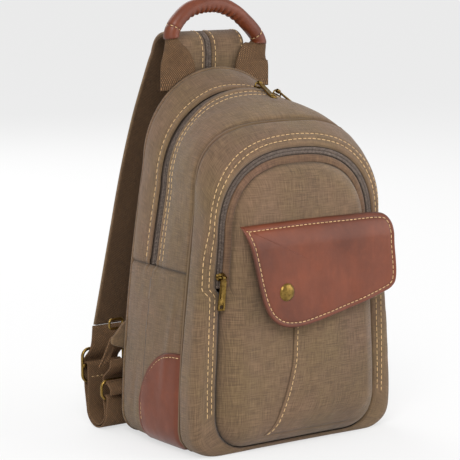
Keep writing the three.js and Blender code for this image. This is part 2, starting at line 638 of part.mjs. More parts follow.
// One length of webbing, [y, z]: from the strap, behind the slide's middle bar, round the loop's outer
// layer, over the ring, back round the inner layer and up to the middle bar, which its end wraps.
function adjusterLine(start, slideY, slideZ) {
  const behind = slideY + 2 * WRAP + 0.4 - SLIDE.wire;
  const inner = LOOP_R - LAYER;
  const loopZ = LOOP_R + WEB_T / 2 + 0.4;
  const ringWrap = RING.wire + LOOSE + WEB_T / 2;
  const arc = (r, from, to, count, cy = LOOP_Y, cz = loopZ) => span(count, from, to).map((a) =>
    [cy + r * Math.cos(a), cz + r * Math.sin(a)]);
  return [
    start, [slideY - WRAP, slideZ + bars / 2], [behind - 1, slideZ + CROSSING - 1], [behind, slideZ],
    [behind - 1, slideZ - CROSSING], [slideY + WRAP, slideZ - bars / 2],
    [slideY + WRAP - 2 * GAP, slideZ - bars / 2 - CROSSING],
    ...arc(LOOP_R, 0, -Math.PI, 8),
    ...arc(ringWrap, Math.PI, 0, 4, RING_Y, RING_Z),
    ...arc(inner, -Math.PI, 0, 8).map(([y, z], i) => (i === 0 ? [y + GAP, z] : [y, z])),
    [slideY - WRAP, slideZ - bars / 2], [slideY - WRAP, slideZ - 2],
    ...arc(WRAP, Math.PI, 0, 4, slideY, slideZ),
  ];
}

const SLIDE_Y = LOOP_Y + LOOP_R - LAYER + WRAP;

const RUN_IN = 20;               // points of the webbing's line that lead in from the strap
const ADJUSTERS = [
  { name: 'left', x: -97, slideZ: 56 },
  { name: 'right', x: -47, slideZ: 50 },
];

function adjusters() {
  for (const { name, x, slideZ } of ADJUSTERS) {
    const side = name === 'left' ? -1 : 1;
    const shift = side * ((STRAP - ZIP_WIDTH) / 4 + ZIP_WIDTH / 2);
    const end = strapLine.at(-1);
    const startX = strapX(end.z, true) + shift;
    const start = [end.y - WEB_T / 2, end.z - GAP];
    const line = smooth(adjusterLine(start, SLIDE_Y, slideZ), 2);
    const fall = start[1] - slideZ - SLIDE.height / 2;
    const middle = (p, i) => (i < RUN_IN ? mix(startX, x, Math.min(1, (start[1] - p.z) / fall)) : x);
    add(`adjuster_webbing_${name}`, ribbon(line, middle, WEB, -WEB_T / 2, WEB_T / 2), webbing);
    const bar = new THREE.CylinderGeometry(SLIDE.wire, SLIDE.wire, SLIDE.inner + 2 * SLIDE.wire, 10)
      .rotateZ(Math.PI / 2).translate(0, 0, bars / 2);
    const slide = add(`slide_buckle_${name}`, union(wireLoop(SLIDE), bar), brass);
    slide.position.set(x, SLIDE_Y, slideZ - bars / 2);
    const ring = add(`ring_${name}`, wireLoop(RING), brass);
    ring.position.set(x, RING_Y, RING_Z);
    ringTab(name, x);
  }
}

// A loop of webbing around a ring's upper bar, its two ends sewn to the back panel.
function ringTab(name, x) {
  const top = RING_Z + RING.height + 2 * RING.wire;
  const wrap = RING.wire + LOOSE + WEB_T / 2;
  const backY = BACK_Y + GAP + WEB_T / 2;
  const line = smooth([[backY, top - TAB.low], [backY, top - TAB.low + 5], [RING_Y - wrap, top - 1],
    ...span(4, Math.PI, 2 * Math.PI).map((a) => [RING_Y + wrap * Math.cos(a), top + wrap * Math.sin(a)]),
    [RING_Y + wrap - GAP, top + 3], [backY + 4, top + TAB.rise], [backY, top + TAB.rise + 5],
    [backY, top + TAB.high]], 2);
  add(`ring_tab_${name}`, ribbon(line, () => x, WEB, -WEB_T / 2, WEB_T / 2), webbing);
}

// A second pair of ring and tab on the far side, for carrying the bag on both shoulders.
function spareRing() {
  const ring = add('ring_spare', wireLoop(RING), brass);
  ring.position.set(SPARE_X, RING_Y, RING_Z);
  ringTab('spare', SPARE_X);
}

// Canvas ear sewn to the back panel's left edge, with a small ring and the tail of webbing it holds.
function ear() {
  const y = BACK_Y + GAP;
  const edge = -halfWidth(BACK, EAR.ringZ);
  const corners = [[edge + EAR.root, EAR.low], [edge - EAR.reach + GAP, EAR.low + EAR.slope],
    [edge - EAR.reach, EAR.low + EAR.point], [edge + 2, EAR.high - CROSSING], [edge + EAR.root, EAR.high]];
  const shape = new THREE.Shape(corners.map(([x, z]) => new THREE.Vector2(x, z)));
  add('strap_ear', new THREE.ExtrudeGeometry(shape, { depth: EAR.t, bevelEnabled: false })
    .rotateX(Math.PI / 2).translate(0, y + EAR.t, 0), canvas);

  const front = y + EAR.t + GAP;
  const ring = add('ear_ring', wireLoop(EAR_RING), brass);
  ring.position.set(edge - EAR_RING.inner / 3, front + EAR_RING.wire, EAR.ringZ - 2);
  const tail = (t, side) => [
    edge - EAR_RING.inner / 3 - 1 - TAIL.drift * t + side * TAIL.width / 2,
    EAR.ringZ - EAR_RING.height - 1 - TAIL.fall * t + side * TAIL.skew];
  const rows = (off) => span(3, 0, 1).map((t) => [-1, 1].map((side) => {
    const [x, z] = tail(t, side);
    return new THREE.Vector3(x, front + off, z);
  }));
  add('ear_tail', sheet(rows(0), rows(WEB_T)), webbing);
}

// ---------------------------------------------------------------- handle
// The webbing runs through the grip and fans out below it.
const HANDLE_Y = BACK.y + GAP + PAD / 2;

function handle() {
  const at = ([x, z]) => new THREE.Vector3(x, HANDLE_Y, z);
  const start = FOLD_Z + FOLD_GAP;
  const line = new THREE.CatmullRomCurve3([[-HANDLE_X, start], [-HANDLE_X - 2, start + 11], ...GRIP_LINE,
    [HANDLE_X + 4, start + 8], [HANDLE_X, start]].map(at), false, 'centripetal');
  const stretches = GRIP_LINE.length + 3;
  const onGrip = span(14, 2 / stretches, (stretches - 2) / stretches);
  const grip = new THREE.CatmullRomCurve3(onGrip.map((t) => line.getPoint(t)), false, 'centripetal');
  const ring = new THREE.Shape().absarc(0, 0, GRIP_R, 0, 2 * Math.PI, false);
  ring.holes.push(new THREE.Path().absarc(0, 0, GRIP_BORE, 0, 2 * Math.PI, true));
  add('handle_grip', new THREE.ExtrudeGeometry(ring,
    { steps: 18, bevelEnabled: false, extrudePath: grip, curveSegments: 6 }), leather);

  // Webbing: flat and full width at the feet, gathered into a narrow core inside the grip.
  const rings = span(30, 0, 1).map((t) => {
    const p = line.getPointAt(t);
    const along = line.getTangentAt(t);
    const side = new THREE.Vector3(along.z, 0, -along.x);
    const end = Math.min(t, 1 - t) * line.getLength();
    const fan = Math.max(0, 1 - end / FAN) ** 0.8;
    side.lerp(new THREE.Vector3(t < 0.5 ? 1 : -1, 0, 0), Math.min(1, 1.6 * fan)).normalize();
    const [w, d] = [mix(CORE.width, FOLD_W, fan) / 2, mix(CORE.t, FOLD_T, Math.min(1, fan * 2)) / 2];
    return [[-1, -1], [1, -1], [1, 1], [-1, 1]].map(([a, b]) =>
      p.clone().addScaledVector(side, a * w).add(new THREE.Vector3(0, b * d, 0)));
  });
  add('handle_webbing', loft(rings), webbing);

  // The sewn feet stand on the top edge of the back panel and stop at the fold.
  const rim = (x) => BACK.crownZ + (BACK.top - BACK.crownZ)
    * (1 - (Math.abs(x) / BACK.crown) ** BACK.power) ** (1 / BACK.power) + GAP;
  for (const [x, name] of [[-HANDLE_X, 'left'], [HANDLE_X, 'right']]) {
    const rows = (off) => span(6, -0.5, 0.5).map((u) => [
      new THREE.Vector3(x + u * WEB, HANDLE_Y + off, rim(x + u * WEB)),
      new THREE.Vector3(x + u * FOLD_W, HANDLE_Y + off, FOLD_Z)]);
    add(`handle_foot_${name}`, sheet(rows(-WEB_T / 2), rows(WEB_T / 2)), webbing);
  }
}

strap();
strapSlider();
adjusters();
spareRing();
ear();
handle();
bodyBands();
sidesAndBase();
panels();
frontFace();
pocket();
flap();
snap();
patches();
mainSliders();
frontSlider();

export default bag;
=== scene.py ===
"""Canvas sling bag with leather trim: its visual model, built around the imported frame.

Lengths inside the builders are in millimetres, and every mesh is written in metres.  The bag's
front faces -Y, its base stands at z = 0 and its strap is behind it.
"""
import json
import math

import bpy
import numpy as np
from bpy.props import FloatProperty, FloatVectorProperty, PointerProperty
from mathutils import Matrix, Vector


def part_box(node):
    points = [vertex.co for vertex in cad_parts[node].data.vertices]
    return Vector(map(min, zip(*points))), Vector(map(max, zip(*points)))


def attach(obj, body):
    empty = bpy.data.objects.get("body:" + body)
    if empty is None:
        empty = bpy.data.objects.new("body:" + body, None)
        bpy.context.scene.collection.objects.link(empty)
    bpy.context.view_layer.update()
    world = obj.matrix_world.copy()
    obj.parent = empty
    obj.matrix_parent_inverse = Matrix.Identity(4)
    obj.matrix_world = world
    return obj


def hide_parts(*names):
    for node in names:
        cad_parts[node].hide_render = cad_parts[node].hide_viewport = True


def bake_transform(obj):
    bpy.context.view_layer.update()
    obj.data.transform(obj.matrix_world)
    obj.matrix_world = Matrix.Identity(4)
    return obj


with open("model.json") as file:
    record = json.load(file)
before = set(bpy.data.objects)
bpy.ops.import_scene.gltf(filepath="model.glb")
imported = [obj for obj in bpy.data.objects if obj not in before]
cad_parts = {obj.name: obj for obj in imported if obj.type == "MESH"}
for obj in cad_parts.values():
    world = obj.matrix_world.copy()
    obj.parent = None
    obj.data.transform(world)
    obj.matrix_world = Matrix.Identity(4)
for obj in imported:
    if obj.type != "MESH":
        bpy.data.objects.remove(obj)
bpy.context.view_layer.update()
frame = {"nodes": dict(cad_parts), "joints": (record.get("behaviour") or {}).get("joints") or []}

bl_info = {
    "name": "Sling bag",
    "version": (1, 0, 0),
    "blender": (4, 5, 0),
    "location": "3D View > Sidebar > Sling bag",
    "description": "Builds a canvas sling bag with zips, a leather flap, a handle and a strap",
    "category": "Mesh",
}

MM = 0.001

# ------------------------------------------------------------------ sections of the body
BACK = dict(y=45, base=107, crown=82, crown_z=248, top=330, power=2)
ARCH = dict(y=10, base=110, crown=85, crown_z=229, top=313, power=2)
SEAM = dict(y=-49, base=111, crown=93, crown_z=222, top=289, power=3)
FACE = dict(y=-72, base=111, crown=95, crown_z=200, top=272, power=2.4)
PANEL = dict(y=-72.3, base=88, crown=79, crown_z=190, top=260, power=2.5, floor=5, corner=30)
CORNER = 22
SIDE_POWER = 1.6
SIDE_SEAM = 0.56          # ring measure of the side seam, where the main zip ends
RING_STOPS = [0, 0.19, 0.26, SIDE_SEAM, 0.72, 1]
ZIP_Y = 10
ZIP_GAP = 5.4             # half the opening between the cloth edges of the main zip
FACING_Y = -72.3
FRONT_ZIP = 6.6


def lattice(points, size, seed):
    """Smooth random values from -1 to 1: the eight corners of a lattice cell `size` wide, each with
    its own hashed value, mixed by smoothstep weights."""
    q = np.asarray(points, float) / size
    cell = np.floor(q)
    f = q - cell
    f = f * f * (3 - 2 * f)
    total = 0
    for corner in range(8):
        bits = np.array([corner & 1, corner >> 1 & 1, corner >> 2 & 1])
        at = cell + bits
        h = np.sin(at @ np.array([127.1, 311.7, 74.7]) + seed * 53.3) * 43758.5453
        total = total + (2 * (h - np.floor(h)) - 1) * np.prod(np.where(bits, f, 1 - f), axis=-1)
    return total


def wrinkles(points, seed=0, amount=1.0):
    """Cloth relief in mm: three layers of smooth noise, each finer and shallower than the last."""
    p = np.asarray(points, float)
    tall = p * np.array([1, 1, 0.6])
    return amount * (1.3 * lattice(tall, 46, seed) + 0.55 * lattice(tall, 19, seed + 1)
                     + 0.2 * lattice(p, 8, seed + 2))


def step(x, low, high):
    """Smoothstep from 0 at low to 1 at high."""
    t = np.clip((x - low) / (high - low), 0, 1)
    return t * t * (3 - 2 * t)


def bell(x, width):
    """Gaussian bump, 1 at x = 0, falling off over `width`."""
    return np.exp(-(x / width) ** 2)


def smoothed(values, sigma, mode="edge"):
    """Rows of values blurred by a Gaussian of `sigma` samples along the first axis."""
    reach = int(3 * sigma) + 1
    kernel = np.exp(-0.5 * (np.arange(-reach, reach + 1) / sigma) ** 2)
    kernel /= kernel.sum()
    padded = np.pad(values, [(reach, reach)] + [(0, 0)] * (values.ndim - 1), mode=mode)
    return sum(k * padded[i:i + len(values)] for i, k in enumerate(kernel))


def lengths(line):
    """Distance run along a line of points, starting at 0."""
    return np.concatenate([[0], np.cumsum(np.linalg.norm(np.diff(line, axis=0), axis=1))])


def resample(line, count):
    """`count` points spaced evenly along a line."""
    run = lengths(line)
    at = np.linspace(0, run[-1], count)
    return np.stack([np.interp(at, run, line[:, k]) for k in range(line.shape[1])], 1)


def half_ring(s):
    """Right half of a section, from the middle of the base to the top: straight base, round corner,
    side drawn in by a power of height, and a superellipse crown; then blurred over about 4 mm."""
    corner, floor = s.get("corner", CORNER), s.get("floor", 0)
    foot = floor + corner
    a = np.linspace(0, np.pi / 2, 40)
    z = np.linspace(foot, s["crown_z"], 160)
    u = (z - foot) / (s["crown_z"] - foot)
    c = np.linspace(0, np.pi / 2, 300)
    line = np.concatenate([
        np.stack([np.linspace(0, s["base"] - corner, 60), np.full(60, float(floor))], 1),
        np.stack([s["base"] - corner + corner * np.sin(a), foot - corner * np.cos(a)], 1),
        np.stack([s["base"] + (s["crown"] - s["base"]) * u ** SIDE_POWER, z], 1),
        np.stack([s["crown"] * np.clip(np.cos(c), 0, 1) ** (2 / s["power"]),
                  s["crown_z"] + (s["top"] - s["crown_z"]) * np.sin(c) ** (2 / s["power"])], 1)])
    line = resample(line, 480)
    mirror = line * [-1, 1]
    whole = np.concatenate([mirror[::-1][:-1], line, mirror[::-1][1:]])
    return smoothed(whole, 4)[479:959]


def ring(s, at):
    """Points [x, z] of a section at ring measures from 0, mid base, up the right to 1, the top, and
    down the left to 2."""
    line = half_ring(s)
    run = lengths(line)
    foot = s.get("floor", 0) + s.get("corner", CORNER)
    rising = line[:, 1] + np.arange(len(line)) * 1e-6
    marks = [0, np.interp(s["base"] - s.get("corner", CORNER), line[:240, 0], run[:240]),
             np.interp(foot, rising, run), np.interp(160, rising, run),
             np.interp(s["crown_z"], rising, run), run[-1]]
    u = np.where(at <= 1, at, 2 - at)
    d = np.interp(u, RING_STOPS, marks)
    x, z = np.interp(d, run, line[:, 0]), np.interp(d, run, line[:, 1])
    return np.stack([np.where(at <= 1, x, -x), z], -1)


def inset(line, amount):
    """A closed [x, z] ring moved inwards, square to itself."""
    d = np.roll(line, -1, 0) - np.roll(line, 1, 0)
    d /= np.linalg.norm(d, axis=1, keepdims=True)
    return line + np.asarray(amount).reshape(-1, 1) * np.stack([-d[:, 1], d[:, 0]], 1)


def between(a, b, y):
    """A section between two others, straight in every measure."""
    t = (y - a["y"]) / (b["y"] - a["y"])
    return {k: a[k] + (b[k] - a[k]) * t for k in a if k in b}


def body_section(y):
    if y > 15.5:
        return between(dict(ARCH, y=15.5), BACK, y)
    return between(dict(ARCH, y=4.5), SEAM, y) if y < 4.5 else dict(ARCH, y=y)


class Skin:
    """A cloth surface: points and outward normals on a grid over two measures, read by mixing the
    four nearest grid points."""

    def __init__(self, a, b, points, centre):
        self.a, self.b, self.points = a, b, points
        self.centre = np.asarray(centre, float)
        self.normals = self.find_normals()

    def find_normals(self):
        n = np.cross(np.gradient(self.points, axis=0), np.gradient(self.points, axis=1))
        n /= np.linalg.norm(n, axis=2, keepdims=True) + 1e-12
        out = np.sum(n * (self.points - self.centre), axis=2).mean()
        return n if out > 0 else -n

    def displace(self, amount):
        self.points = self.points + self.normals * amount[..., None]
        self.normals = self.find_normals()

    def at(self, a, b, lift=0.0):
        a, b = np.broadcast_arrays(np.asarray(a, float), np.asarray(b, float))
        i = np.clip(np.interp(a, self.a, np.arange(len(self.a))), 0, len(self.a) - 1.001)
        j = np.clip(np.interp(b, self.b, np.arange(len(self.b))), 0, len(self.b) - 1.001)
        i0, j0 = i.astype(int), j.astype(int)
        fi, fj = (i - i0)[..., None], (j - j0)[..., None]

        def mixed(grid):
            top = grid[i0, j0] * (1 - fj) + grid[i0, j0 + 1] * fj
            return top * (1 - fi) + (grid[i0 + 1, j0] * (1 - fj) + grid[i0 + 1, j0 + 1] * fj) * fi
        normal = mixed(self.normals)
        normal /= np.linalg.norm(normal, axis=-1, keepdims=True)
        return mixed(self.points) + normal * np.asarray(lift)[..., None], normal


# ------------------------------------------------------------------ meshes
def write_mesh(name, points, faces, uvs=None, tone=None, smooth=True):
    """Puts points (mm), faces (rows of 3 or 4 corners), corner UVs (mm) and a value of painted light and
    shade, with some wear, per point into a new object at the origin."""
    mesh = bpy.data.meshes.new(name)
    mesh.vertices.add(len(points))
    mesh.vertices.foreach_set("co", (np.asarray(points, float) * MM).astype(np.float32).ravel())
    sizes = np.concatenate([np.full(len(f), f.shape[1]) for f in faces])
    corners = np.concatenate([f.ravel() for f in faces]).astype(np.int32)
    mesh.loops.add(len(corners))
    mesh.loops.foreach_set("vertex_index", corners)
    mesh.polygons.add(len(sizes))
    mesh.polygons.foreach_set("loop_start", np.concatenate([[0], np.cumsum(sizes)[:-1]]).astype(np.int32))
    mesh.polygons.foreach_set("use_smooth", np.full(len(sizes), smooth))
    if uvs is not None:
        layer = mesh.uv_layers.new(name="UVMap")
        layer.data.foreach_set("uv", (np.concatenate(uvs) * MM).astype(np.float32).ravel())
    mesh.update(calc_edges=True)
    mesh.validate()
    # Per-point attribute of painted shade and painted light, with some wear and random tone.
    if tone is not None:
        mesh.attributes.new("tone", "FLOAT", "POINT").data.foreach_set("value", tone.astype(np.float32))
    obj = bpy.data.objects.new(name, mesh)
    bpy.context.scene.collection.objects.link(obj)
    return obj


def grid_faces(rows, cols, wrap_rows, wrap_cols):
    i, j = np.meshgrid(np.arange(rows - (not wrap_rows)), np.arange(cols - (not wrap_cols)), indexing="ij")
    i2, j2 = (i + 1) % rows, (j + 1) % cols
    quads = np.stack([i * cols + j, i * cols + j2, i2 * cols + j2, i2 * cols + j], -1).reshape(-1, 4)
    wide = cols + bool(wrap_cols)
    corners = np.stack([i * wide + j, i * wide + j + 1, (i + 1) * wide + j + 1, (i + 1) * wide + j], -1)
    return quads, corners.reshape(-1, 4)


def grid_uv(points, wrap_rows, wrap_cols):
    """UVs in mm: mean distance run along the columns, and along the rows."""
    along = np.concatenate([points, points[:, :1]], 1) if wrap_cols else points
    across = np.concatenate([points, points[:1]], 0) if wrap_rows else points
    u = np.concatenate([[0], np.cumsum(np.linalg.norm(np.diff(along, axis=1), axis=2).mean(0))])
    v = np.concatenate([[0], np.cumsum(np.linalg.norm(np.diff(across, axis=0), axis=2).mean(1))])
    return np.stack(np.meshgrid(u, v), -1).reshape(-1, 2)


def surface(name, points, wrap_rows=False, wrap_cols=False, caps=False, out=None, tone=None, smooth=True):
    """A grid of points made a mesh.  Closed grids face outwards by their volume, and open ones face
    away from the point `out`.  Caps are fans that close the ends of a tube."""
    rows, cols = points.shape[:2]
    quads, corners = grid_faces(rows, cols, wrap_rows, wrap_cols)
    uv = grid_uv(points, wrap_rows, wrap_cols)
    flat = points.reshape(-1, 3)
    faces, uvs = [quads], [uv[corners].reshape(-1, 2)]
    if caps:
        j = np.arange(cols)
        for row, turn in ((0, 1), (rows - 1, -1)):
            flat = np.concatenate([flat, points[row].mean(0, keepdims=True)])
            fan = np.stack([row * cols + (j + 1) % cols, row * cols + j, np.full(cols, len(flat) - 1)], 1)
            faces.append(fan[:, ::turn])
            uvs.append(flat[faces[-1]].reshape(-1, 3)[:, :2])
        if tone is not None:
            tone = np.concatenate([tone.ravel(), [tone[0].mean(), tone[-1].mean()]])
    q = flat[quads]
    normal = np.cross(q[:, 2] - q[:, 0], q[:, 3] - q[:, 1])
    origin = flat.mean(0) if out is None else np.asarray(out, float)
    if np.sum(normal * (q.mean(1) - origin)) < 0:
        faces = [f[:, ::-1] for f in faces]
        uvs = [u.reshape(len(f), -1, 2)[:, ::-1].reshape(-1, 2) for u, f in zip(uvs, faces)]
    return write_mesh(name, flat, faces, uvs, None if tone is None else tone.ravel(), smooth)


def thicken(obj, thickness):
    """Gives an open sheet its wall, inwards from the face that shows."""
    wall = obj.modifiers.new("wall", "SOLIDIFY")
    wall.thickness, wall.offset = thickness * MM, -1
    return obj


def capsule(sides=6):
    """A rod from -1 to 1 along x with rounded ends, all in four-cornered faces."""
    xs, rs = [-1, -0.72, 0, 0.72, 1], [0.3, 0.88, 1, 0.88, 0.3]
    turn = 2 * np.pi * (np.arange(sides) + 0.5) / sides
    points = np.array([[x, r * np.cos(t), r * np.sin(t)] for x, r in zip(xs, rs) for t in turn])
    quads, _ = grid_faces(5, sides, False, True)
    last = 4 * sides
    ends = np.array([[3, 2, 1, 0], [5, 4, 3, 0], [last, last + 1, last + 2, last + 3],
                     [last, last + 3, last + 4, last + 5]])
    return points, np.concatenate([quads[:, ::-1], ends])


def scatter(name, template, origins, axes, sizes):
    """Copies of one small shape: at each origin, its x, y and z follow the three axes (N, 3, 3)
    and are multiplied by the three sizes."""
    points, quads = template
    every = origins[:, None] + np.einsum("vk,nkd->nvd", points * np.asarray(sizes), axes)
    faces = (quads[None] + (np.arange(len(origins)) * len(points))[:, None, None]).reshape(-1, 4)
    q = every[0][quads]
    if np.sum(np.cross(q[:, 2] - q[:, 0], q[:, 3] - q[:, 1]) * (q.mean(1) - origins[0])) < 0:
        faces = faces[:, ::-1]
    return write_mesh(name, every.reshape(-1, 3), [faces])


def along_path(line, normal, pitch, shift=0.0):
    """Evenly spaced stations on a line: place, and axes along it, across it and out of the cloth."""
    run = lengths(line)
    count = max(2, int(round((run[-1] - 0.5 * pitch) / pitch)))
    at = (np.arange(count) + 0.5 + shift) * run[-1] / (count + 0.5)

    def read(values, where):
        return np.stack([np.interp(where, run, values[:, k]) for k in range(3)], 1)
    p, n = read(line, at), read(normal, at)
    t = read(line, np.minimum(at + 0.4, run[-1])) - read(line, np.maximum(at - 0.4, 0))
    t /= np.linalg.norm(t, axis=1, keepdims=True)
    n -= t * np.sum(n * t, 1, keepdims=True)
    n /= np.linalg.norm(n, axis=1, keepdims=True)
    return p, np.stack([t, np.cross(n, t), n], 1)


def stitch_axes(paths, pitch):
    stations = [along_path(p, n, pitch) for p, n in paths]
    return np.concatenate([s[0] for s in stations]), np.concatenate([s[1] for s in stations])


def stitches(name, paths, pitch=5.4, length=3.9, radius=0.42):
    """Thread along paths of (points, normals): one short rounded rod for each stitch, sunk by
    about a third into the cloth."""
    p, axes = stitch_axes(paths, pitch)
    p = p + axes[:, 2] * radius * 0.3
    return scatter(name, capsule(), p, axes, (length / 2, radius, radius * 0.8))


def coil(name, line, normal, half=1.7, pitch=1.25):
    """Zip coil: two rows of short rods across the line, the second half a pitch behind the first."""
    p, a = along_path(line, normal, pitch)
    q, b = along_path(line, normal, pitch, 0.25)
    cross = np.concatenate([a[:, [1, 0, 2]], b[:, [1, 0, 2]]])
    places = np.concatenate([p + a[:, 1] * half * 0.62, q - b[:, 1] * half * 0.62])
    return scatter(name, capsule(), places, cross, (half * 0.62, 0.5, 0.75))


def tube(name, line, radius, sides=20, closed=False, squeeze=None):
    """A round bar along a line: circles square to it, carried without twist about a fixed side."""
    d = (np.roll(line, -1, 0) - np.roll(line, 1, 0)) if closed else np.gradient(line, axis=0)
    d /= np.linalg.norm(d, axis=1, keepdims=True)
    side = np.cross(d, squeeze if squeeze is not None else [0, 1, 0])
    side /= np.linalg.norm(side, axis=1, keepdims=True)
    up = np.cross(side, d)
    t = 2 * np.pi * np.arange(sides) / sides
    r = np.broadcast_to(np.asarray(radius, float).reshape(-1, 1, 1), (len(line), 1, 1))
    points = line[:, None] + r * (np.cos(t)[None, :, None] * side[:, None] + np.sin(t)[None, :,
                                                                                       None] * up[:, None])
    return surface(name, points, wrap_rows=closed, wrap_cols=True, caps=not closed)


def catmull(points, per):
    """Centripetal Catmull-Rom line through points, `per` steps for each stretch."""
    p = np.asarray(points, float)
    p = np.concatenate([[2 * p[0] - p[1]], p, [2 * p[-1] - p[-2]]])
    out = []
    for i in range(len(p) - 3):
        p0, p1, p2, p3 = p[i:i + 4]
        d0, d1, d2 = (max(1e-6, np.linalg.norm(b - a) ** 0.5) for a, b in ((p0, p1), (p1, p2), (p2, p3)))
        m1 = ((p1 - p0) / d0 - (p2 - p0) / (d0 + d1) + (p2 - p1) / d1) * d1
        m2 = ((p2 - p1) / d1 - (p3 - p1) / (d1 + d2) + (p3 - p2) / d2) * d1
        t = (np.arange(per + (i == len(p) - 4)) / per)[:, None]
        out.append((2 * t ** 3 - 3 * t ** 2 + 1) * p1 + (t ** 3 - 2 * t ** 2 + t) * m1
                   + (-2 * t ** 3 + 3 * t ** 2) * p2 + (t ** 3 - t ** 2) * m2)
    return np.concatenate(out)


# ------------------------------------------------------------------ finishes
def linear(rgb):
    """A 0-255 display colour as linear light."""
    c = np.asarray(rgb, float) / 255
    return tuple(np.where(c <= 0.04045, c / 12.92, ((c + 0.055) / 1.055) ** 2.4)) + (1.0,)


class Finish:
    """A node material, written one node at a time."""

    def __init__(self, name, roughness, metallic=0.0):
        self.mat = bpy.data.materials.new(name)
        self.mat.use_nodes = True
        self.tree = self.mat.node_tree
        self.shader = self.tree.nodes["Principled BSDF"]
        self.shader.inputs["Roughness"].default_value = roughness
        self.shader.inputs["Metallic"].default_value = metallic
        self.uv = self.node("UVMap").outputs[0]
        self.place = self.node("TexCoord").outputs["Object"]

    def node(self, kind, *inputs, **attributes):
        n = self.tree.nodes.new("ShaderNode" + kind)
        for key, value in attributes.items():
            setattr(n, key, value)
        for k, value in enumerate(inputs):
            self.feed(n.inputs[k], value)
        return n

    def feed(self, socket, value):
        if isinstance(value, bpy.types.NodeSocket):
            self.tree.links.new(value, socket)
        elif value is not None:
            socket.default_value = value

    def math(self, operation, *values):
        return self.node("Math", *values, operation=operation).outputs[0]

    def noise(self, coordinates, scale, detail=2.0, rough=0.5):
        n = self.node("TexNoise")
        self.feed(n.inputs["Vector"], coordinates)
        self.feed(n.inputs["Scale"], scale)
        self.feed(n.inputs["Detail"], detail)
        self.feed(n.inputs["Roughness"], rough)
        return n.outputs[0]

    def stretched(self, coordinates, scale):
        n = self.node("Mapping")
        self.feed(n.inputs["Vector"], coordinates)
        n.inputs["Scale"].default_value = scale
        return n.outputs[0]

    def mix(self, factor, a, b, blend="MIX"):
        return self.node("MixRGB", factor, a, b, blend_type=blend).outputs[0]

    def ramp(self, value, low, high):
        return self.node("MapRange", value, low, high, 0.0, 1.0).outputs[0]

    def rows(self, axis, pitch):
        """Sine along one UV direction with a period of `pitch` mm."""
        parts = self.node("SeparateXYZ", self.uv)
        return self.math("SINE", self.math("MULTIPLY", parts.outputs[axis], 2 * math.pi / (pitch * MM)))

    # Reads the per-point attribute of painted shade and painted light, with some wear and random tone.
    def tone(self):
        return self.node("Attribute", attribute_name="tone").outputs["Fac"]

    def bump(self, height, distance, strength=1.0, normal=None):
        n = self.node("Bump")
        n.inputs["Strength"].default_value = strength
        n.inputs["Distance"].default_value = distance * MM
        self.feed(n.inputs["Height"], height)
        self.feed(n.inputs["Normal"], normal)
        return n.outputs[0]

    def finish(self, colour, normal=None, roughness=None):
        self.feed(self.shader.inputs["Base Color"], colour)
        self.feed(self.shader.inputs["Normal"], normal)
        self.feed(self.shader.inputs["Roughness"], roughness)
        return self.mat


def washed_canvas(colours, name="washed_canvas", shade=1.0):
    """Slubbed plain weave: threads as crossed sines, thick threads as stretched noise, a mauve and green-tan
    wash, painted shade in seams, creases and hollows, painted light on crests, and paler worn hems, all from
    the tone attribute."""
    f = Finish(name, 0.92)
    base = np.array(colours) * shade
    wash = f.ramp(f.noise(f.place, 17, 3, 0.6), 0.36, 0.64)
    colour = f.mix(wash, linear(base * [1.01, 0.985, 1.02]), linear(base * [0.985, 1.01, 0.93]))
    patches = f.ramp(f.noise(f.place, 55, 4, 0.65), 0.3, 0.7)
    colour = f.mix(f.math("MULTIPLY", patches, 0.32), colour, linear(base * 0.86))
    warp = f.noise(f.stretched(f.uv, (1500, 70, 1)), 1, 2, 0.7)
    weft = f.noise(f.stretched(f.uv, (60, 1300, 1)), 1, 2, 0.7)
    slub = f.math("ADD", warp, weft)
    colour = f.mix(f.ramp(slub, 0.88, 1.22), colour, linear(base * 0.78))
    colour = f.mix(f.math("MULTIPLY", f.ramp(slub, 0.98, 0.72), 0.5), colour, linear(base * 1.19))
    # Painted shade and light: the tone attribute darkens the cloth in seams, creases and hollows and lightens
    # it on crests; on raised hems the paler cloth is wear.
    tone = f.tone()
    colour = f.mix(f.math("MULTIPLY", f.ramp(tone, 0.0, -1.0), 0.75), colour, linear(base * 0.5))
    colour = f.mix(f.math("MULTIPLY", f.ramp(tone, 0.0, 1.0), 0.35), colour, linear(base * 1.25))
    weave = f.math("MULTIPLY", f.rows(0, 0.95), f.rows(1, 0.95))
    normal = f.bump(weave, 0.07, 0.8)
    normal = f.bump(slub, 0.22, 0.8, normal)
    normal = f.bump(f.noise(f.place, 90, 3, 0.55), 0.9, 0.35, normal)
    f.shader.inputs["Sheen Weight"].default_value = 0.18
    f.shader.inputs["Sheen Roughness"].default_value = 0.5
    f.shader.inputs["Specular IOR Level"].default_value = 0.18
    return f.finish(colour, normal)


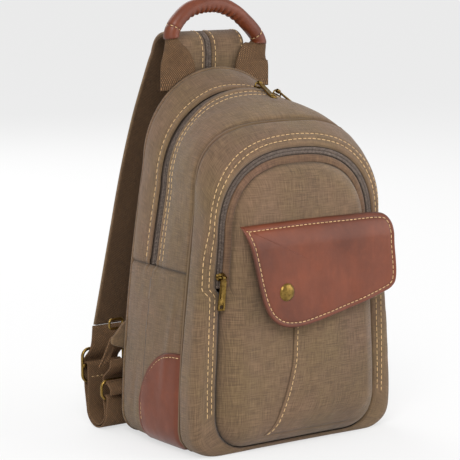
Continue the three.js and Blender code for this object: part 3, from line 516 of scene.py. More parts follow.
def brown_webbing(colours, name="brown_webbing", row=1.9, shade=1.0):
    """Ribbed webbing: rows of knuckles on a staggered grid, a painted highlight on each crest, painted shade
    between them.
    """
    f = Finish(name, 0.85)
    base = np.array(colours) * shade
    grid = f.math("MULTIPLY", f.rows(0, row), f.rows(1, row * 1.15))
    crest_highlight = f.ramp(grid, 0.15, 0.9)
    speck = f.ramp(f.noise(f.place, 260, 3, 0.7), 0.35, 0.66)
    cloud = f.ramp(f.noise(f.place, 24, 3, 0.6), 0.3, 0.7)
    colour = f.mix(f.math("MULTIPLY", cloud, 0.4), linear(base * 0.88), linear(base * 1.1))
    # Painted highlight: paler on the crest of each knuckle, flecked by noise.
    pale = f.math("MULTIPLY", crest_highlight, f.math("MULTIPLY_ADD", speck, 0.7, 0.25))
    colour = f.mix(pale, colour, linear(base * [1.75, 1.7, 1.62]))
    # Painted shade: darker in the hollows between the knuckles.
    colour = f.mix(f.math("MULTIPLY", f.ramp(grid, -0.1, -0.9), 0.5), colour, linear(base * 0.62))
    normal = f.bump(grid, 0.28, 1.0)
    normal = f.bump(f.noise(f.place, 700, 2), 0.12, 0.6, normal)
    f.shader.inputs["Specular IOR Level"].default_value = 0.22
    return f.finish(colour, normal)


def saddle_leather(colours, name="saddle_leather"):
    """Oiled leather: cloudy pull-up colour, faint upright streaks, fine pores, darker edges, and painted shade
    and highlights.
    """
    f = Finish(name, 0.42)
    base = np.array(colours)
    cloud = f.ramp(f.noise(f.place, 26, 4, 0.62), 0.32, 0.68)
    streak = f.ramp(f.noise(f.stretched(f.place, (190, 190, 38)), 1, 4, 0.6), 0.3, 0.72)
    colour = f.mix(cloud, linear(base * 0.86), linear(base * [1.09, 1.12, 1.16]))
    colour = f.mix(f.math("MULTIPLY", streak, 0.42), colour, linear(base * [0.8, 0.76, 0.72]))
    fleck = f.ramp(f.noise(f.place, 160, 4, 0.7), 0.52, 0.75)
    colour = f.mix(f.math("MULTIPLY", fleck, 0.28), colour, linear(base * [1.2, 1.3, 1.45]))
    # Painted shade and light from the tone attribute: darker in grooves and fold hollows and along the edges,
    # paler where painted highlights lie.
    colour = f.mix(f.math("MULTIPLY", f.ramp(f.tone(), 0.0, -1.0), 0.7), colour, linear(base * 0.55))
    colour = f.mix(f.math("MULTIPLY", f.ramp(f.tone(), 0.0, 1.0), 0.5), colour,
                   linear(base * [1.22, 1.3, 1.4]))
    pores = f.node("TexVoronoi")
    f.feed(pores.inputs["Vector"], f.place)
    pores.inputs["Scale"].default_value = 900
    normal = f.bump(pores.outputs[0], 0.05, 0.6)
    normal = f.bump(f.noise(f.place, 70, 4, 0.6), 0.7, 0.5, normal)
    rough = f.math("MULTIPLY_ADD", cloud, -0.1, 0.5)
    f.shader.inputs["Coat Weight"].default_value = 0.12
    f.shader.inputs["Coat Roughness"].default_value = 0.3
    f.shader.inputs["Specular IOR Level"].default_value = 0.42
    return f.finish(colour, normal, rough)


def antique_brass(colours, name="antique_brass"):
    """Aged brass: bright on the rubbed places, brown patina elsewhere, slightly dimpled."""
    f = Finish(name, 0.34, 1.0)
    base = np.array(colours)
    patina = f.ramp(f.noise(f.place, 340, 4, 0.65), 0.4, 0.7)
    colour = f.mix(f.math("MULTIPLY", patina, 0.75), linear(base), linear(base * [0.5, 0.47, 0.42]))
    rough = f.math("MULTIPLY_ADD", patina, 0.2, 0.27)
    return f.finish(colour, f.bump(f.noise(f.place, 520, 3), 0.08, 0.5), rough)


def zip_tape(colours, name="zip_tape"):
    """Twill tape: slanting rows from the sum of both UV directions."""
    f = Finish(name, 0.8)
    base = np.array(colours)
    parts = f.node("SeparateXYZ", f.uv)
    slant = f.math("SINE", f.math("MULTIPLY", f.math("ADD", parts.outputs[0], parts.outputs[1]),
                                  2 * math.pi / (1.1 * MM)))
    colour = f.mix(f.ramp(slant, -1.0, 1.0), linear(base * 0.8), linear(base * 1.15))
    colour = f.mix(f.math("MULTIPLY", f.noise(f.place, 90, 3), 0.4), colour, linear(base * 0.7))
    return f.finish(colour, f.bump(slant, 0.12, 0.8))


def plain(name, colours, roughness, scale, vary=0.18, depth=0.06):
    """A finish of one colour with fine noise in its colour and its relief."""
    f = Finish(name, roughness)
    base = np.array(colours)
    grain = f.noise(f.place, scale, 3, 0.6)
    colour = f.mix(f.ramp(grain, 0.35, 0.65), linear(base * (1 - vary)), linear(base * (1 + vary)))
    return f.finish(colour, f.bump(grain, depth, 0.7))


FINISHES = {}


def make_finishes(look):
    FINISHES.update(
        canvas=washed_canvas(look.canvas),
        canvas_lip=washed_canvas(np.array(look.canvas) * [0.97, 0.92, 0.93], "canvas_lip"),
        webbing=brown_webbing(look.webbing),
        webbing_dark=brown_webbing(look.webbing, "webbing_dark", 1.5, 0.86),
        leather=saddle_leather(look.leather),
        brass=antique_brass(look.brass),
        zip=zip_tape(look.zip_tape),
        zip_coil=plain("zip_coil", look.zip_coil, 0.42, 400),
        thread=plain("tan_thread", look.thread, 0.7, 900, 0.15),
        thread_brown=plain("brown_thread", np.array(look.thread) * [0.8, 0.66, 0.55], 0.7, 900, 0.15),
        padding=washed_canvas(look.canvas, "back_canvas", 0.95),
    )


def done(obj, body, finish, replaces=()):
    """Finish, body and the frame nodes that a piece stands for."""
    obj.data.materials.clear()
    obj.data.materials.append(FINISHES[finish])
    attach(obj, body)
    if replaces:
        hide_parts(*replaces)
    return obj


# ------------------------------------------------------------------ body
SKINS = {}
BODY_CENTRE = (0, 0, 150)
ROW_FRONT, ROW_NEXT, ROW_BACK = 10.5, 17, 10.5   # stitch rows either side of the main zip


def body_skin():
    """Main compartment: section rings from the back seam to the front seam, pushed out between
    seams and drawn in along them, with hems rolled along the zip."""
    y = np.unique(np.concatenate([np.linspace(-49, 45.2, 110), [ZIP_Y - ZIP_GAP, ZIP_Y + ZIP_GAP]]))
    s = np.unique(np.concatenate([np.linspace(0, 2, 620), [SIDE_SEAM, 2 - SIDE_SEAM]]))
    points = np.stack([np.insert(ring(body_section(v), s), 1, v, axis=1) for v in y])
    skin = Skin(y, s, points, BODY_CENTRE)
    u = np.where(s <= 1, s, 2 - s)[None, :]
    yy = y[:, None]
    upper = step(u, SIDE_SEAM - 0.02, SIDE_SEAM + 0.02)
    lower = step(u, 0.2, 0.3)
    side = 3.4 * np.sin(np.pi * (yy + 49) / 94.2).clip(0) ** 0.8
    front = 2.6 * np.sin(np.pi * np.clip((yy + 49) / 53.6, 0, 1)) ** 0.8
    rear = 1.6 * np.sin(np.pi * np.clip((yy - 15.4) / 29.8, 0, 1)) ** 0.8
    push = (side * (1 - upper) + (front + rear) * upper) * lower
    away = np.abs(yy - ZIP_Y)
    hem = upper * (1.0 * bell(away - ZIP_GAP - 2.2, 1.9) - 1.6 * bell(away - ZIP_GAP + 0.8, 1.2))
    for row, sign in ((ROW_FRONT, -1), (ROW_NEXT, -1), (ROW_BACK, 1)):
        hem = hem - 0.5 * upper * bell(yy - ZIP_Y - sign * row, 0.9)
    seams = (-2.4 * bell(yy + 49, 2.4) - 1.6 * bell(yy - 45.2, 1.8)
             - 1.5 * bell((u - SIDE_SEAM) * 460, 2.0) * (1 - step(u, SIDE_SEAM, SIDE_SEAM + 0.004) * 0.5)
             - 1.3 * bell((u - 0.212) * 460, 1.8))
    relief = wrinkles(points, 3) * (0.25 + 0.75 * lower) * (0.5 + 0.5 * step(away, 5, 14))
    folds = 1.1 * bell((yy + 30 + 40 * (u - 0.4)), 4.5) * bell((u - 0.42), 0.09)
    folds = folds - 0.9 * bell((yy - 20 + 60 * (u - 0.3)), 5) * bell((u - 0.32), 0.07)
    floor = step(points[..., 2], 1.0, 14.0)
    skin.displace((push + hem + seams + relief + folds) * (0.1 + 0.9 * floor))
    skin.points[..., 2] = np.maximum(skin.points[..., 2], 0.4)
    # Painted shade: darker along the sunk seams and in the hollows of the relief; painted light on its crests;
    # paler along the raised hem as wear.
    skin.tone = np.clip(-0.95 * bell(yy + 49, 2.2) - 0.8 * bell(yy - 45.2, 1.8)
                        - 0.8 * bell((u - SIDE_SEAM) * 460, 1.6) - 0.7 * bell((u - 0.212) * 460, 1.6)
                        + 0.5 * hem.clip(0) + 0.22 * relief, -1, 1)
    return skin


def cut(skin, a_low, a_high, b_low, b_high):
    """The part of a skin between two values of each measure, with the exact edges added."""
    a = np.unique(np.concatenate([[a_low, a_high], skin.a[(skin.a > a_low) & (skin.a < a_high)]]))
    b = np.unique(np.concatenate([[b_low, b_high], skin.b[(skin.b > b_low) & (skin.b < b_high)]]))
    aa, bb = np.meshgrid(a, b, indexing="ij")
    points, _ = skin.at(aa, bb)
    i = np.interp(aa, skin.a, np.arange(len(skin.a))).round().astype(int)
    j = np.interp(bb, skin.b, np.arange(len(skin.b))).round().astype(int)
    return points, np.broadcast_to(skin.tone, skin.points.shape[:2])[i, j]


def panel_piece(name, skin, limits, body="root", finish="canvas", wall=2.2, replaces=()):
    points, tone = cut(skin, *limits)
    obj = thicken(surface(name, points, out=skin.centre, tone=tone), wall)
    return done(obj, body, finish, replaces=replaces)


def build_body():
    skin = SKINS["body"] = body_skin()
    top = (SIDE_SEAM, 2 - SIDE_SEAM)
    zip_back, zip_front = ZIP_Y + ZIP_GAP, ZIP_Y - ZIP_GAP
    panel_piece("rear_gusset_cloth", skin, (zip_back, 45.2, *top), replaces=["rear_gusset"])
    panel_piece("front_gusset_cloth", skin, (-49, zip_front, *top), replaces=["front_gusset"])
    panel_piece("side_panel_cloth_right", skin, (-49, 45.2, 0.212, SIDE_SEAM), replaces=["side_panel_right"])
    panel_piece("side_panel_cloth_left", skin, (-49, 45.2, 2 - SIDE_SEAM, 2 - 0.212),
                replaces=["side_panel_left"])
    # The base takes the body skin's painted shade in seams and hollows and painted light on crests.
    left, left_painted_light_and_wear = cut(skin, -49, 45.2, 2 - 0.212, 2)
    right, right_painted_light_and_wear = cut(skin, -49, 45.2, 0, 0.212)
    base = np.concatenate([left, right[:, 1:]], 1)
    tone = np.concatenate([left_painted_light_and_wear, right_painted_light_and_wear[:, 1:]], 1)
    done(thicken(surface("base_cloth", base, out=BODY_CENTRE, tone=tone), 2.2), "root", "canvas",
         replaces=["base_panel"])


def row_path(skin, a, b_low, b_high, count=260, lift=0.1):
    """A line on a skin at one value of its first measure."""
    return skin.at(np.full(count, a), np.linspace(b_low, b_high, count), lift)


def build_main_zip():
    """Tape under the two hems, coil down its middle, and its stitch rows."""
    skin = SKINS["body"]
    s = np.linspace(SIDE_SEAM, 2 - SIDE_SEAM, 420)
    flat = np.stack([np.insert(ring(body_section(ZIP_Y), s), 1, v, axis=1)
                     for v in np.linspace(ZIP_Y - ZIP_GAP - 2.5, ZIP_Y + ZIP_GAP + 2.5, 9)])
    tape = Skin(np.linspace(-1, 1, 9), s, flat, BODY_CENTRE)
    tape.displace(np.full(flat.shape[:2], -2.1))
    done(thicken(surface("main_zip_tape", tape.points, out=BODY_CENTRE), 0.8), "root", "zip",
         replaces=["main_zip_chain"])
    line, normal = tape.at(np.zeros(420), s, 0.7)
    done(coil("main_zip_coil", line, normal, 2.3), "root", "zip_coil")
    ends = (SIDE_SEAM + 0.006, 2 - SIDE_SEAM - 0.006)
    rows = [row_path(skin, ZIP_Y - ROW_FRONT, *ends), row_path(skin, ZIP_Y - ROW_NEXT, *ends),
            row_path(skin, ZIP_Y + ROW_BACK, *ends)]
    done(stitches("main_zip_stitches", rows), "root", "thread")


# ------------------------------------------------------------------ second compartment
def front_rings():
    s = np.linspace(0, 2, 641)[:-1]
    seam, face = ring(SEAM, s), ring(FACE, s)
    panel = ring(PANEL, s)
    return s, seam, face, panel


def front_skin():
    """Second compartment's shell: from the seam forward, round the front edge and in to the zip.
    Each profile is a straight run, a bend of 9 mm and a second run, spaced evenly, then pushed out."""
    s, seam, face, panel = front_rings()
    opened = step(panel[:, 1], 142, 152)[:, None]
    inner = inset(panel, -(0.4 + FRONT_ZIP * opened[:, 0]))
    a = np.insert(seam, 1, -49, axis=1)
    c = np.insert(face, 1, -73.4, axis=1)
    b = np.insert(inner, 1, -74.2, axis=1)
    into, out = a - c, b - c
    into_length = np.linalg.norm(into, axis=1, keepdims=True)
    out_length = np.linalg.norm(out, axis=1, keepdims=True)
    c1 = c + into / into_length * np.minimum(9, 0.55 * into_length)
    c2 = c + out / out_length * np.minimum(9, 0.55 * out_length)
    t = np.linspace(0, 1, 14)[:, None, None]
    bend = (1 - t) ** 2 * c1 + 2 * t * (1 - t) * c + t * t * c2
    dense = np.concatenate([a + (c1 - a) * t[:-1], bend, c2 + (b - c2) * t[1:]])
    profile = np.stack([resample(dense[:, j], 60) for j in range(len(s))], 1)
    profile = np.concatenate([profile, profile[:, :1]], 1)
    v = np.linspace(0, 1, 60)
    skin = Skin(v, np.append(s, 2), profile, (0, -40, 140))
    vv = v[:, None]
    z = profile[..., 2]
    total = np.linalg.norm(np.diff(profile, axis=0), axis=2).sum(0)[None, :]
    from_seam, from_zip = vv * total, (1 - vv) * total
    open_here = np.append(opened[:, 0], opened[0, 0])[None, :]
    puff = 2.4 * np.sin(np.pi * vv) ** 0.8 * (0.6 + 0.4 * step(z, 10, 60))
    hem = open_here * (0.9 * bell(from_zip - 2.6, 1.8) - 0.5 * bell(from_zip - 6.6, 0.9)
                       - 0.5 * bell(from_zip - 12, 0.9))
    seams = -2.2 * bell(from_seam, 2.4) - 1.4 * bell(from_zip, 1.8) * (1 - open_here)
    relief = wrinkles(profile, 11, 0.9)
    low = step(z, 0.5, 12)
    skin.displace((puff + hem + seams + relief) * (0.1 + 0.9 * low))
    skin.points[..., 2] = np.maximum(skin.points[..., 2], 0.4)
    # Painted shade: darker along the sunk seams and in hollows of the relief; painted light on its crests;
    # paler along the raised hem by the zip as wear.
    skin.tone = np.clip(-0.95 * bell(from_seam, 2.2) - 0.9 * bell(from_zip, 1.6) * (1 - open_here)
                        + 0.5 * hem.clip(0) + 0.22 * relief, -1, 1)
    skin.total, skin.opened = total[0], open_here[0]
    return skin


ZIP_KNOTS = np.array([[0, 0.4], [0.8, 1.6], [5.6, 2.9], [6.6, 3.2], [8.2, 7], [12, 12.6], [18, 16.2],
                      [28, 17.3], [200, 17.6]])
LOW_KNOTS = np.array([[0, 0.1], [1.2, 2.6], [4, 7.6], [8, 12], [14, 15.4], [22, 17.2], [200, 17.6]])


def rise(distance, knots):
    """Height over the facing at a distance from the panel's edge: straight runs between knots,
    with the corners blurred over a millimetre."""
    d = np.arange(0, 60, 0.2)
    table = smoothed(np.interp(d, knots[:, 0], knots[:, 1]), 4)
    return np.interp(distance, d, table)


def edge_distance(xz, outline):
    """Distance of each point to the nearest point of an outline."""
    flat = xz.reshape(-1, 2)
    best = np.full(len(flat), 1e9)
    for chunk in np.array_split(outline, 16):
        best = np.minimum(best, np.linalg.norm(flat[:, None] - chunk[None], axis=2).min(1))
    return best.reshape(xz.shape[:-1])


def panel_front(xz, outline):
    """y of the front panel's cloth at (x, z): the facing, the rise by distance from the edge, a belly
    low down, a slope back near the top, and wrinkles."""
    x, z = xz[..., 0], xz[..., 1]
    d = edge_distance(xz, outline)
    opened = step(z, 142, 152)
    height = rise(d, ZIP_KNOTS) * opened + rise(d, LOW_KNOTS) * (1 - opened)
    height = height * (1 - 0.22 * step(z, 205, 262))
    belly = 3.0 * np.exp(-((z - 70) / 55) ** 2 - (x / 62) ** 2) * step(d, 2, 26)
    p = np.stack([x, np.full_like(x, -80), z], -1)
    creases = 0.9 * bell((x + 62 + 0.25 * (z - 170)), 4) * bell(z - 178, 26)
    return FACING_Y - height - belly + (0.8 * wrinkles(p, 21) - creases) * step(d, 1, 9)


def build_front():
    skin = SKINS["front"] = front_skin()
    done(thicken(surface("section_cloth", skin.points[:, :-1], wrap_cols=True, out=skin.centre,
                                 tone=skin.tone[:, :-1]), 2.0), "root", "canvas",
                 replaces=["section_gusset", "section_facing"])
    s, _, _, panel = front_rings()
    outline = resample(np.concatenate([panel, panel[:1]]), 900)[:-1]
    SKINS["panel_outline"] = outline
    depths = np.concatenate([np.linspace(0, 9, 19), np.linspace(10, 28, 13)])
    rows = [inset(panel, d) for d in depths]
    centre = np.array([0, 140])
    rows += [centre + (rows[-1] - centre) * k for k in np.linspace(1, 0.02, 34)[1:]]
    xz = np.stack(rows)
    y = panel_front(xz, outline)
    y[0] = FACING_Y + 1.5
    points = np.stack([xz[..., 0], y, xz[..., 1]], -1)
    d = edge_distance(xz, outline)
    opened = step(xz[..., 1], 142, 152)
    # Painted shade at the sunk edge and in the crease by the zip, paler wear on the rolled edge beyond it, and
    # painted light and shade along the wrinkles.
    tone = np.clip(-0.9 * bell(d, 1.5) - 0.8 * bell(d - 7.2, 1.0) * opened + 0.4 * bell(d - 9, 2) * opened
                   + 0.2 * wrinkles(points, 21), -1, 1)
    panel_obj = closed_disc("front_panel_cloth", points, tone)
    done(thicken(panel_obj, 1.8), "root", "canvas", replaces=["front_panel"])
    # Lip of mauve cloth along the coil.
    keep = np.where(opened[0] > 0.02)[0]
    lip_rows = np.stack([inset(panel, d)[keep] for d in np.linspace(-0.6, 6.4, 9)])
    lip_y = np.interp(np.linspace(-0.6, 6.4, 9), [-0.6, 0.4, 3, 6.4], [-73.4, -75.2, -76.0, -75.9])
    lip = np.stack([lip_rows[..., 0], np.broadcast_to(lip_y[:, None], lip_rows.shape[:2]), lip_rows[...,
                                                                                                    1]], -1)
    lip[..., 1] += 0.35 * wrinkles(lip, 31)
    done(thicken(surface("zip_lip", lip, out=(0, 0, 150)), 1.2), "root", "canvas_lip")


def closed_disc(name, points, tone):
    """Rings that shrink to a point: a grid wrapped round, with its last ring closed by a fan."""
    rows, cols = points.shape[:2]
    quads, _ = grid_faces(rows, cols, False, True)
    flat = np.append(points.reshape(-1, 3), points[-1].mean(0)[None], 0)
    j = np.arange(cols)
    fan = np.stack([(rows - 1) * cols + j, (rows - 1) * cols + (j + 1) % cols, np.full(cols, rows * cols)], 1)
    uv = flat[:, [0, 2]]
    q = flat[quads]
    front = np.cross(q[:, 2] - q[:, 0], q[:, 3] - q[:, 1])[:, 1].sum()
    faces = [quads, fan] if front < 0 else [quads[:, ::-1], fan[:, ::-1]]
    tones = np.append(tone.ravel(), tone[-1].mean())
    return write_mesh(name, flat, faces, [uv[f].reshape(-1, 2) for f in faces], tones)


def build_front_zip():
    """Tape and coil round the panel above the zip's end, and the two stitch rows outside it."""
    s, _, _, panel = front_rings()
    keep = np.where(panel[:, 1] > 149)[0]
    rows = np.stack([inset(panel, -d)[keep] for d in np.linspace(-2, FRONT_ZIP + 3, 8)])
    tape = np.insert(rows.reshape(-1, 2), 1, -74.0, axis=1).reshape(*rows.shape[:2], 3)
    done(thicken(surface("front_zip_tape", tape, out=(0, 0, 150)), 0.7), "root", "zip",
         replaces=["front_zip_chain"])
    line = np.insert(inset(panel, -FRONT_ZIP / 2 - 0.4)[keep], 1, -74.9, axis=1)
    normal = np.tile([0.0, -1.0, 0.0], (len(line), 1))
    done(coil("front_zip_coil", line, normal, 2.2), "root", "zip_coil")
    skin = SKINS["front"]
    paths = []
    for distance in (6.6, 12.0):
        at = np.linspace(0.27, 1.73, 700)
        total = np.interp(at, skin.b, skin.total)
        paths.append(skin.at(1 - distance / total, at, 0.1))
    done(stitches("section_stitches", paths), "root", "thread")


# ------------------------------------------------------------------ slip pocket, flap, snap
POCKET_EDGE = np.array([[-12, 176], [-13.5, 150], [-15.9, 108], [-19.1, 76], [-28.9, 42.5], [-39, 21], [-45,
                                                                                                        15.5]])


def build_pocket():
    """Slip pocket: rows from its curved left seam to the panel's right edge, standing off the panel
    and pinched to it along the seam, the right edge and the foot."""
    outline = SKINS["panel_outline"]
    z = np.linspace(15.5, 176, 110)
    edge = catmull(POCKET_EDGE[::-1], 12)
    left = np.interp(z, edge[:, 1], edge[:, 0])
    right_ring = ring(PANEL, np.linspace(0.2, 0.99, 300))
    right = np.interp(z, right_ring[:, 1], right_ring[:, 0]) - 6
    round_off = np.clip(1 - (z - 15.5) / 30, 0, 1)
    right = right - 26 * (1 - np.sqrt(1 - round_off ** 2))
    u = np.linspace(0, 1, 120)
    x = left[:, None] + (right - left)[:, None] * u[None]
    zz = np.broadcast_to(z[:, None], x.shape)
    xz = np.stack([x, zz], -1)
    from_left, from_right = x - left[:, None], right[:, None] - x
    off = (1.5 * step(from_left, 0, 1.6) + 2.2 * step(from_left, 4, 34)) * step(from_right, 0, 16)
    off = 0.5 + off * step(zz, 15.5, 40)
    y = panel_front(xz, outline) - off
    y = np.maximum(y, -97.4)
    points = np.stack([x, y, zz], -1)
    # Painted shade along the sewn seam, paler wear on the rolled edge beside it, and painted light and shade
    # along the wrinkles.
    tone = np.clip(0.5 * bell(from_left - 1.2, 1.2) - 0.9 * bell(from_left, 0.7) + 0.2 * wrinkles(points,
                                                                                                  21), -1, 1)
    done(thicken(surface("slip_pocket_cloth", points, out=(0, 0, 120), tone=tone), 1.0), "root", "canvas",
         replaces=["pocket_panel"])
    on_cloth = [np.interp(v + 3.2, x[i], y[i]) for i, v in enumerate(left)]
    path = np.stack([left + 3.2, on_cloth, z], 1)
    normal = np.tile([0.0, -1.0, 0.0], (len(path), 1))
    done(stitches("pocket_stitches", [(path - [0, 0.15, 0], normal)], 5.0, 3.6), "root", "thread")


FLAP_TRACE = [(-75, 204.4), (-73.6, 197), (-67.5, 173), (-61, 148), (-56, 134), (-49.5, 123.5), (-41, 117),
              (-33, 114), (-24, 112.8), (-13, 112.8), (3.5, 115.2), (22.8, 119.2), (57, 127), (77, 132.8),
              (86.5, 136.4), (91, 141), (92.4, 148), (91.6, 162), (90, 176), (89.6, 188), (88.6, 197),
              (85, 202.5), (79, 204.4), (40, 205.2), (0, 205.4), (-40, 205)]
FLAP_CENTRE = np.array([8, 163])
SNAP_AT = np.array([-33, 145])


def flap_outline():
    line = catmull(FLAP_TRACE + FLAP_TRACE[:1], 14)
    return resample(line, 421)[:-1]


def flap_y(x, z):
    """y of the flap's outer face: folded over at its top, then standing off, with soft waves."""
    v = np.clip((205.6 - z) / 22, 0, 1)
    fall = -92.5 - 10.2 * np.sin(v * np.pi / 2) ** 0.9
    roll = 1.6 * bell(205.6 - z, 3.5)
    p = np.stack([x, np.full_like(x, -100), z], -1)
    wave = 0.9 * np.sin(x / 30 + 0.6) * step(205 - z, 6, 40) + 0.7 * wrinkles(p, 41) * step(205 - z, 3, 14)
    return fall + roll + wave * 0.8


def flap_shell(shrink, out_lift, thickness, edge):
    """Closed plate over the flap's outline: front face from the middle out, rounded edge, back face."""
    line = FLAP_CENTRE + (flap_outline() - FLAP_CENTRE) * shrink
    rows, lifts = [], []
    for k in np.linspace(0.02, 1, 46) ** 0.8:
        rows.append(FLAP_CENTRE + (inset(line, edge) - FLAP_CENTRE) * k)
        lifts.append(0.0)
    for a in np.linspace(0, np.pi, 9)[1:-1]:
        rows.append(inset(line, edge * (1 - np.sin(a))))
        lifts.append(thickness / 2 * (1 - np.cos(a)))
    for k in (np.linspace(1, 0.02, 24)) ** 0.8:
        rows.append(FLAP_CENTRE + (inset(line, edge) - FLAP_CENTRE) * k)
        lifts.append(thickness)
    xz = np.stack(rows)
    y = flap_y(xz[..., 0], xz[..., 1]) + np.array(lifts)[:, None] - out_lift
    return np.stack([xz[..., 0], y, xz[..., 1]], -1), line


def build_flap():
    points, line = flap_shell(1.0, 0.0, 2.3, 1.2)
    d = edge_distance(points[..., [0, 2]], line)
    groove = 0.45 * bell(d - 4.2, 1.0)
    outer = np.arange(len(points)) < 47
    points[..., 1] += groove * outer[:, None] - 0.35 * bell(d - 1.8, 1.6) * outer[:, None]
    z = points[..., 2]
    # Darker along the edge, painted shade in the sunk stitch groove, a painted highlight at the upper left by
    # the fold, and random tone.
    tone = np.clip(-0.8 * bell(d, 1.0) - 0.5 * bell(d - 4.2, 1.1) + 0.8 * bell(z - 199, 6)
                   * bell(points[..., 0] + 52, 30) + 0.35 * wrinkles(points, 44), -1, 1)
    done(surface("flap_leather", points, wrap_cols=True, caps=True, tone=tone), "flap", "leather",
         replaces=["flap"])
    back, _ = flap_shell(0.955, -2.7, 0.8, 0.4)
    done(surface("flap_back", back, wrap_cols=True, caps=True), "flap", "canvas_lip",
         replaces=["flap_lining"])
    path = inset(line, 4.2)
    path = path[(path[:, 1] < 201.6)]
    start = np.argmin(path[:, 0] + path[:, 1] * -0.5)
    path = np.roll(path, -start, axis=0)
    gap = np.argmax(np.linalg.norm(np.diff(path, axis=0), axis=1))
    if np.linalg.norm(path[gap + 1] - path[gap]) > 20:
        path = np.roll(path, -(gap + 1), axis=0)
    y = flap_y(path[:, 0], path[:, 1]) + 0.25
    places = np.insert(path, 1, y, axis=1)
    normal = np.tile([0.0, -1.0, 0.0], (len(path), 1))
    done(stitches("flap_stitches", [(places, normal)], 4.7, 3.3, 0.4), "flap", "thread")


def lathe(name, profile, centre, sides=48):
    """A profile [radius, forward] turned about the line that runs towards -Y through `centre`."""
    t = 2 * np.pi * np.arange(sides) / sides
    r, f = np.array(profile, float).T
    points = np.stack([centre[0] + r[:, None] * np.cos(t), centre[1] - np.broadcast_to(f[:, None], (len(r),
                                                                                                    sides)),
                       centre[2] + r[:, None] * np.sin(t)], -1)
    return surface(name, points, wrap_cols=True, caps=True)


def build_snap():
    x, z = SNAP_AT
    seat = float(flap_y(np.array(float(x)), np.array(float(z))))
    a = np.linspace(0, np.pi / 2, 12)
    dome = [[7.3 * math.cos(v) + 0.01, 0.5 + 2.1 * math.sin(v)] for v in a]
    profile = [[0.5, -0.2], [7.5, -0.2], [7.9, 0.1], [7.8, 0.45], [7.35, 0.55]] + dome[1:]
    done(lathe("snap_cap_brass", profile, (x, seat, z)), "flap", "brass", replaces=["snap_cap"])


# ------------------------------------------------------------------ leather corners
def build_patches():
    """Quarter-round corners: a grid over depth and height laid on the side panel's skin, its rim
    dropped to the cloth, with thread along the curved edge."""
    skin = SKINS["body"]
    v = np.concatenate([np.linspace(0, 0.9, 40), np.linspace(0.91, 1, 16)])
    q = np.linspace(0, 1, 50)
    height = 24 + 66 * np.sqrt(np.clip(1 - v ** 2.6, 0, 1))
    side = ring(body_section(-20), np.linspace(0.2, 0.6, 400))

    def measure(z):
        return np.interp(z, side[:, 1], np.linspace(0.2, 0.6, 400))
    low = 0.214
    top = measure(height)
    s = low + (top - low)[:, None] * q[None]
    y = -48.6 + v[:, None] * 57.6 + 0 * s
    rim = np.minimum(np.minimum(q, 1 - q)[None] * (top - low)[:, None] * 460, (1 - v)[:, None] * 57.6)
    rim = np.minimum(rim, np.sqrt(np.clip(v, 0, 1))[:, None] * 57.6 + 1.2)
    lift = 0.35 + 1.25 * step(rim, 0, 1.6) - 0.35 * bell(rim - 3.8, 0.9)
    # Darker along the edge, and painted shade in the sunk stitch groove.
    tone = np.clip(-0.9 * bell(rim, 1.0) - 0.4 * bell(rim - 3.8, 1.0), -1, 1)
    line_v = np.concatenate([np.linspace(0.03, 0.9, 60), np.linspace(0.905, 0.995, 30)])
    curve = np.stack([-48.6 + line_v * 57.6, 24 + 66 * np.sqrt(np.clip(1 - line_v ** 2.6, 0, 1))], 1)
    curve = np.concatenate([curve, [[curve[-1, 0], 12]]])
    d = np.gradient(curve, axis=0)
    d /= np.linalg.norm(d, axis=1, keepdims=True)
    path = resample(smoothed(curve + 3.8 * np.stack([d[:, 1], -d[:, 0]], 1), 2), 160)
    path = path[path[:, 1] > 11]
    for name, flip in (("right", False), ("left", True)):
        points, _ = skin.at(y, 2 - s if flip else s, lift)
        obj = thicken(surface(f"corner_leather_{name}", points, out=BODY_CENTRE, tone=tone), 1.2)
        done(obj, "root", "leather", replaces=[f"corner_patch_{name}"])
        at = measure(path[:, 1])
        places, normals = skin.at(path[:, 0], 2 - at if flip else at, 1.2)
        done(stitches(f"corner_stitches_{name}", [(places, normals)], 4.4, 3.1, 0.38), "root", "thread")


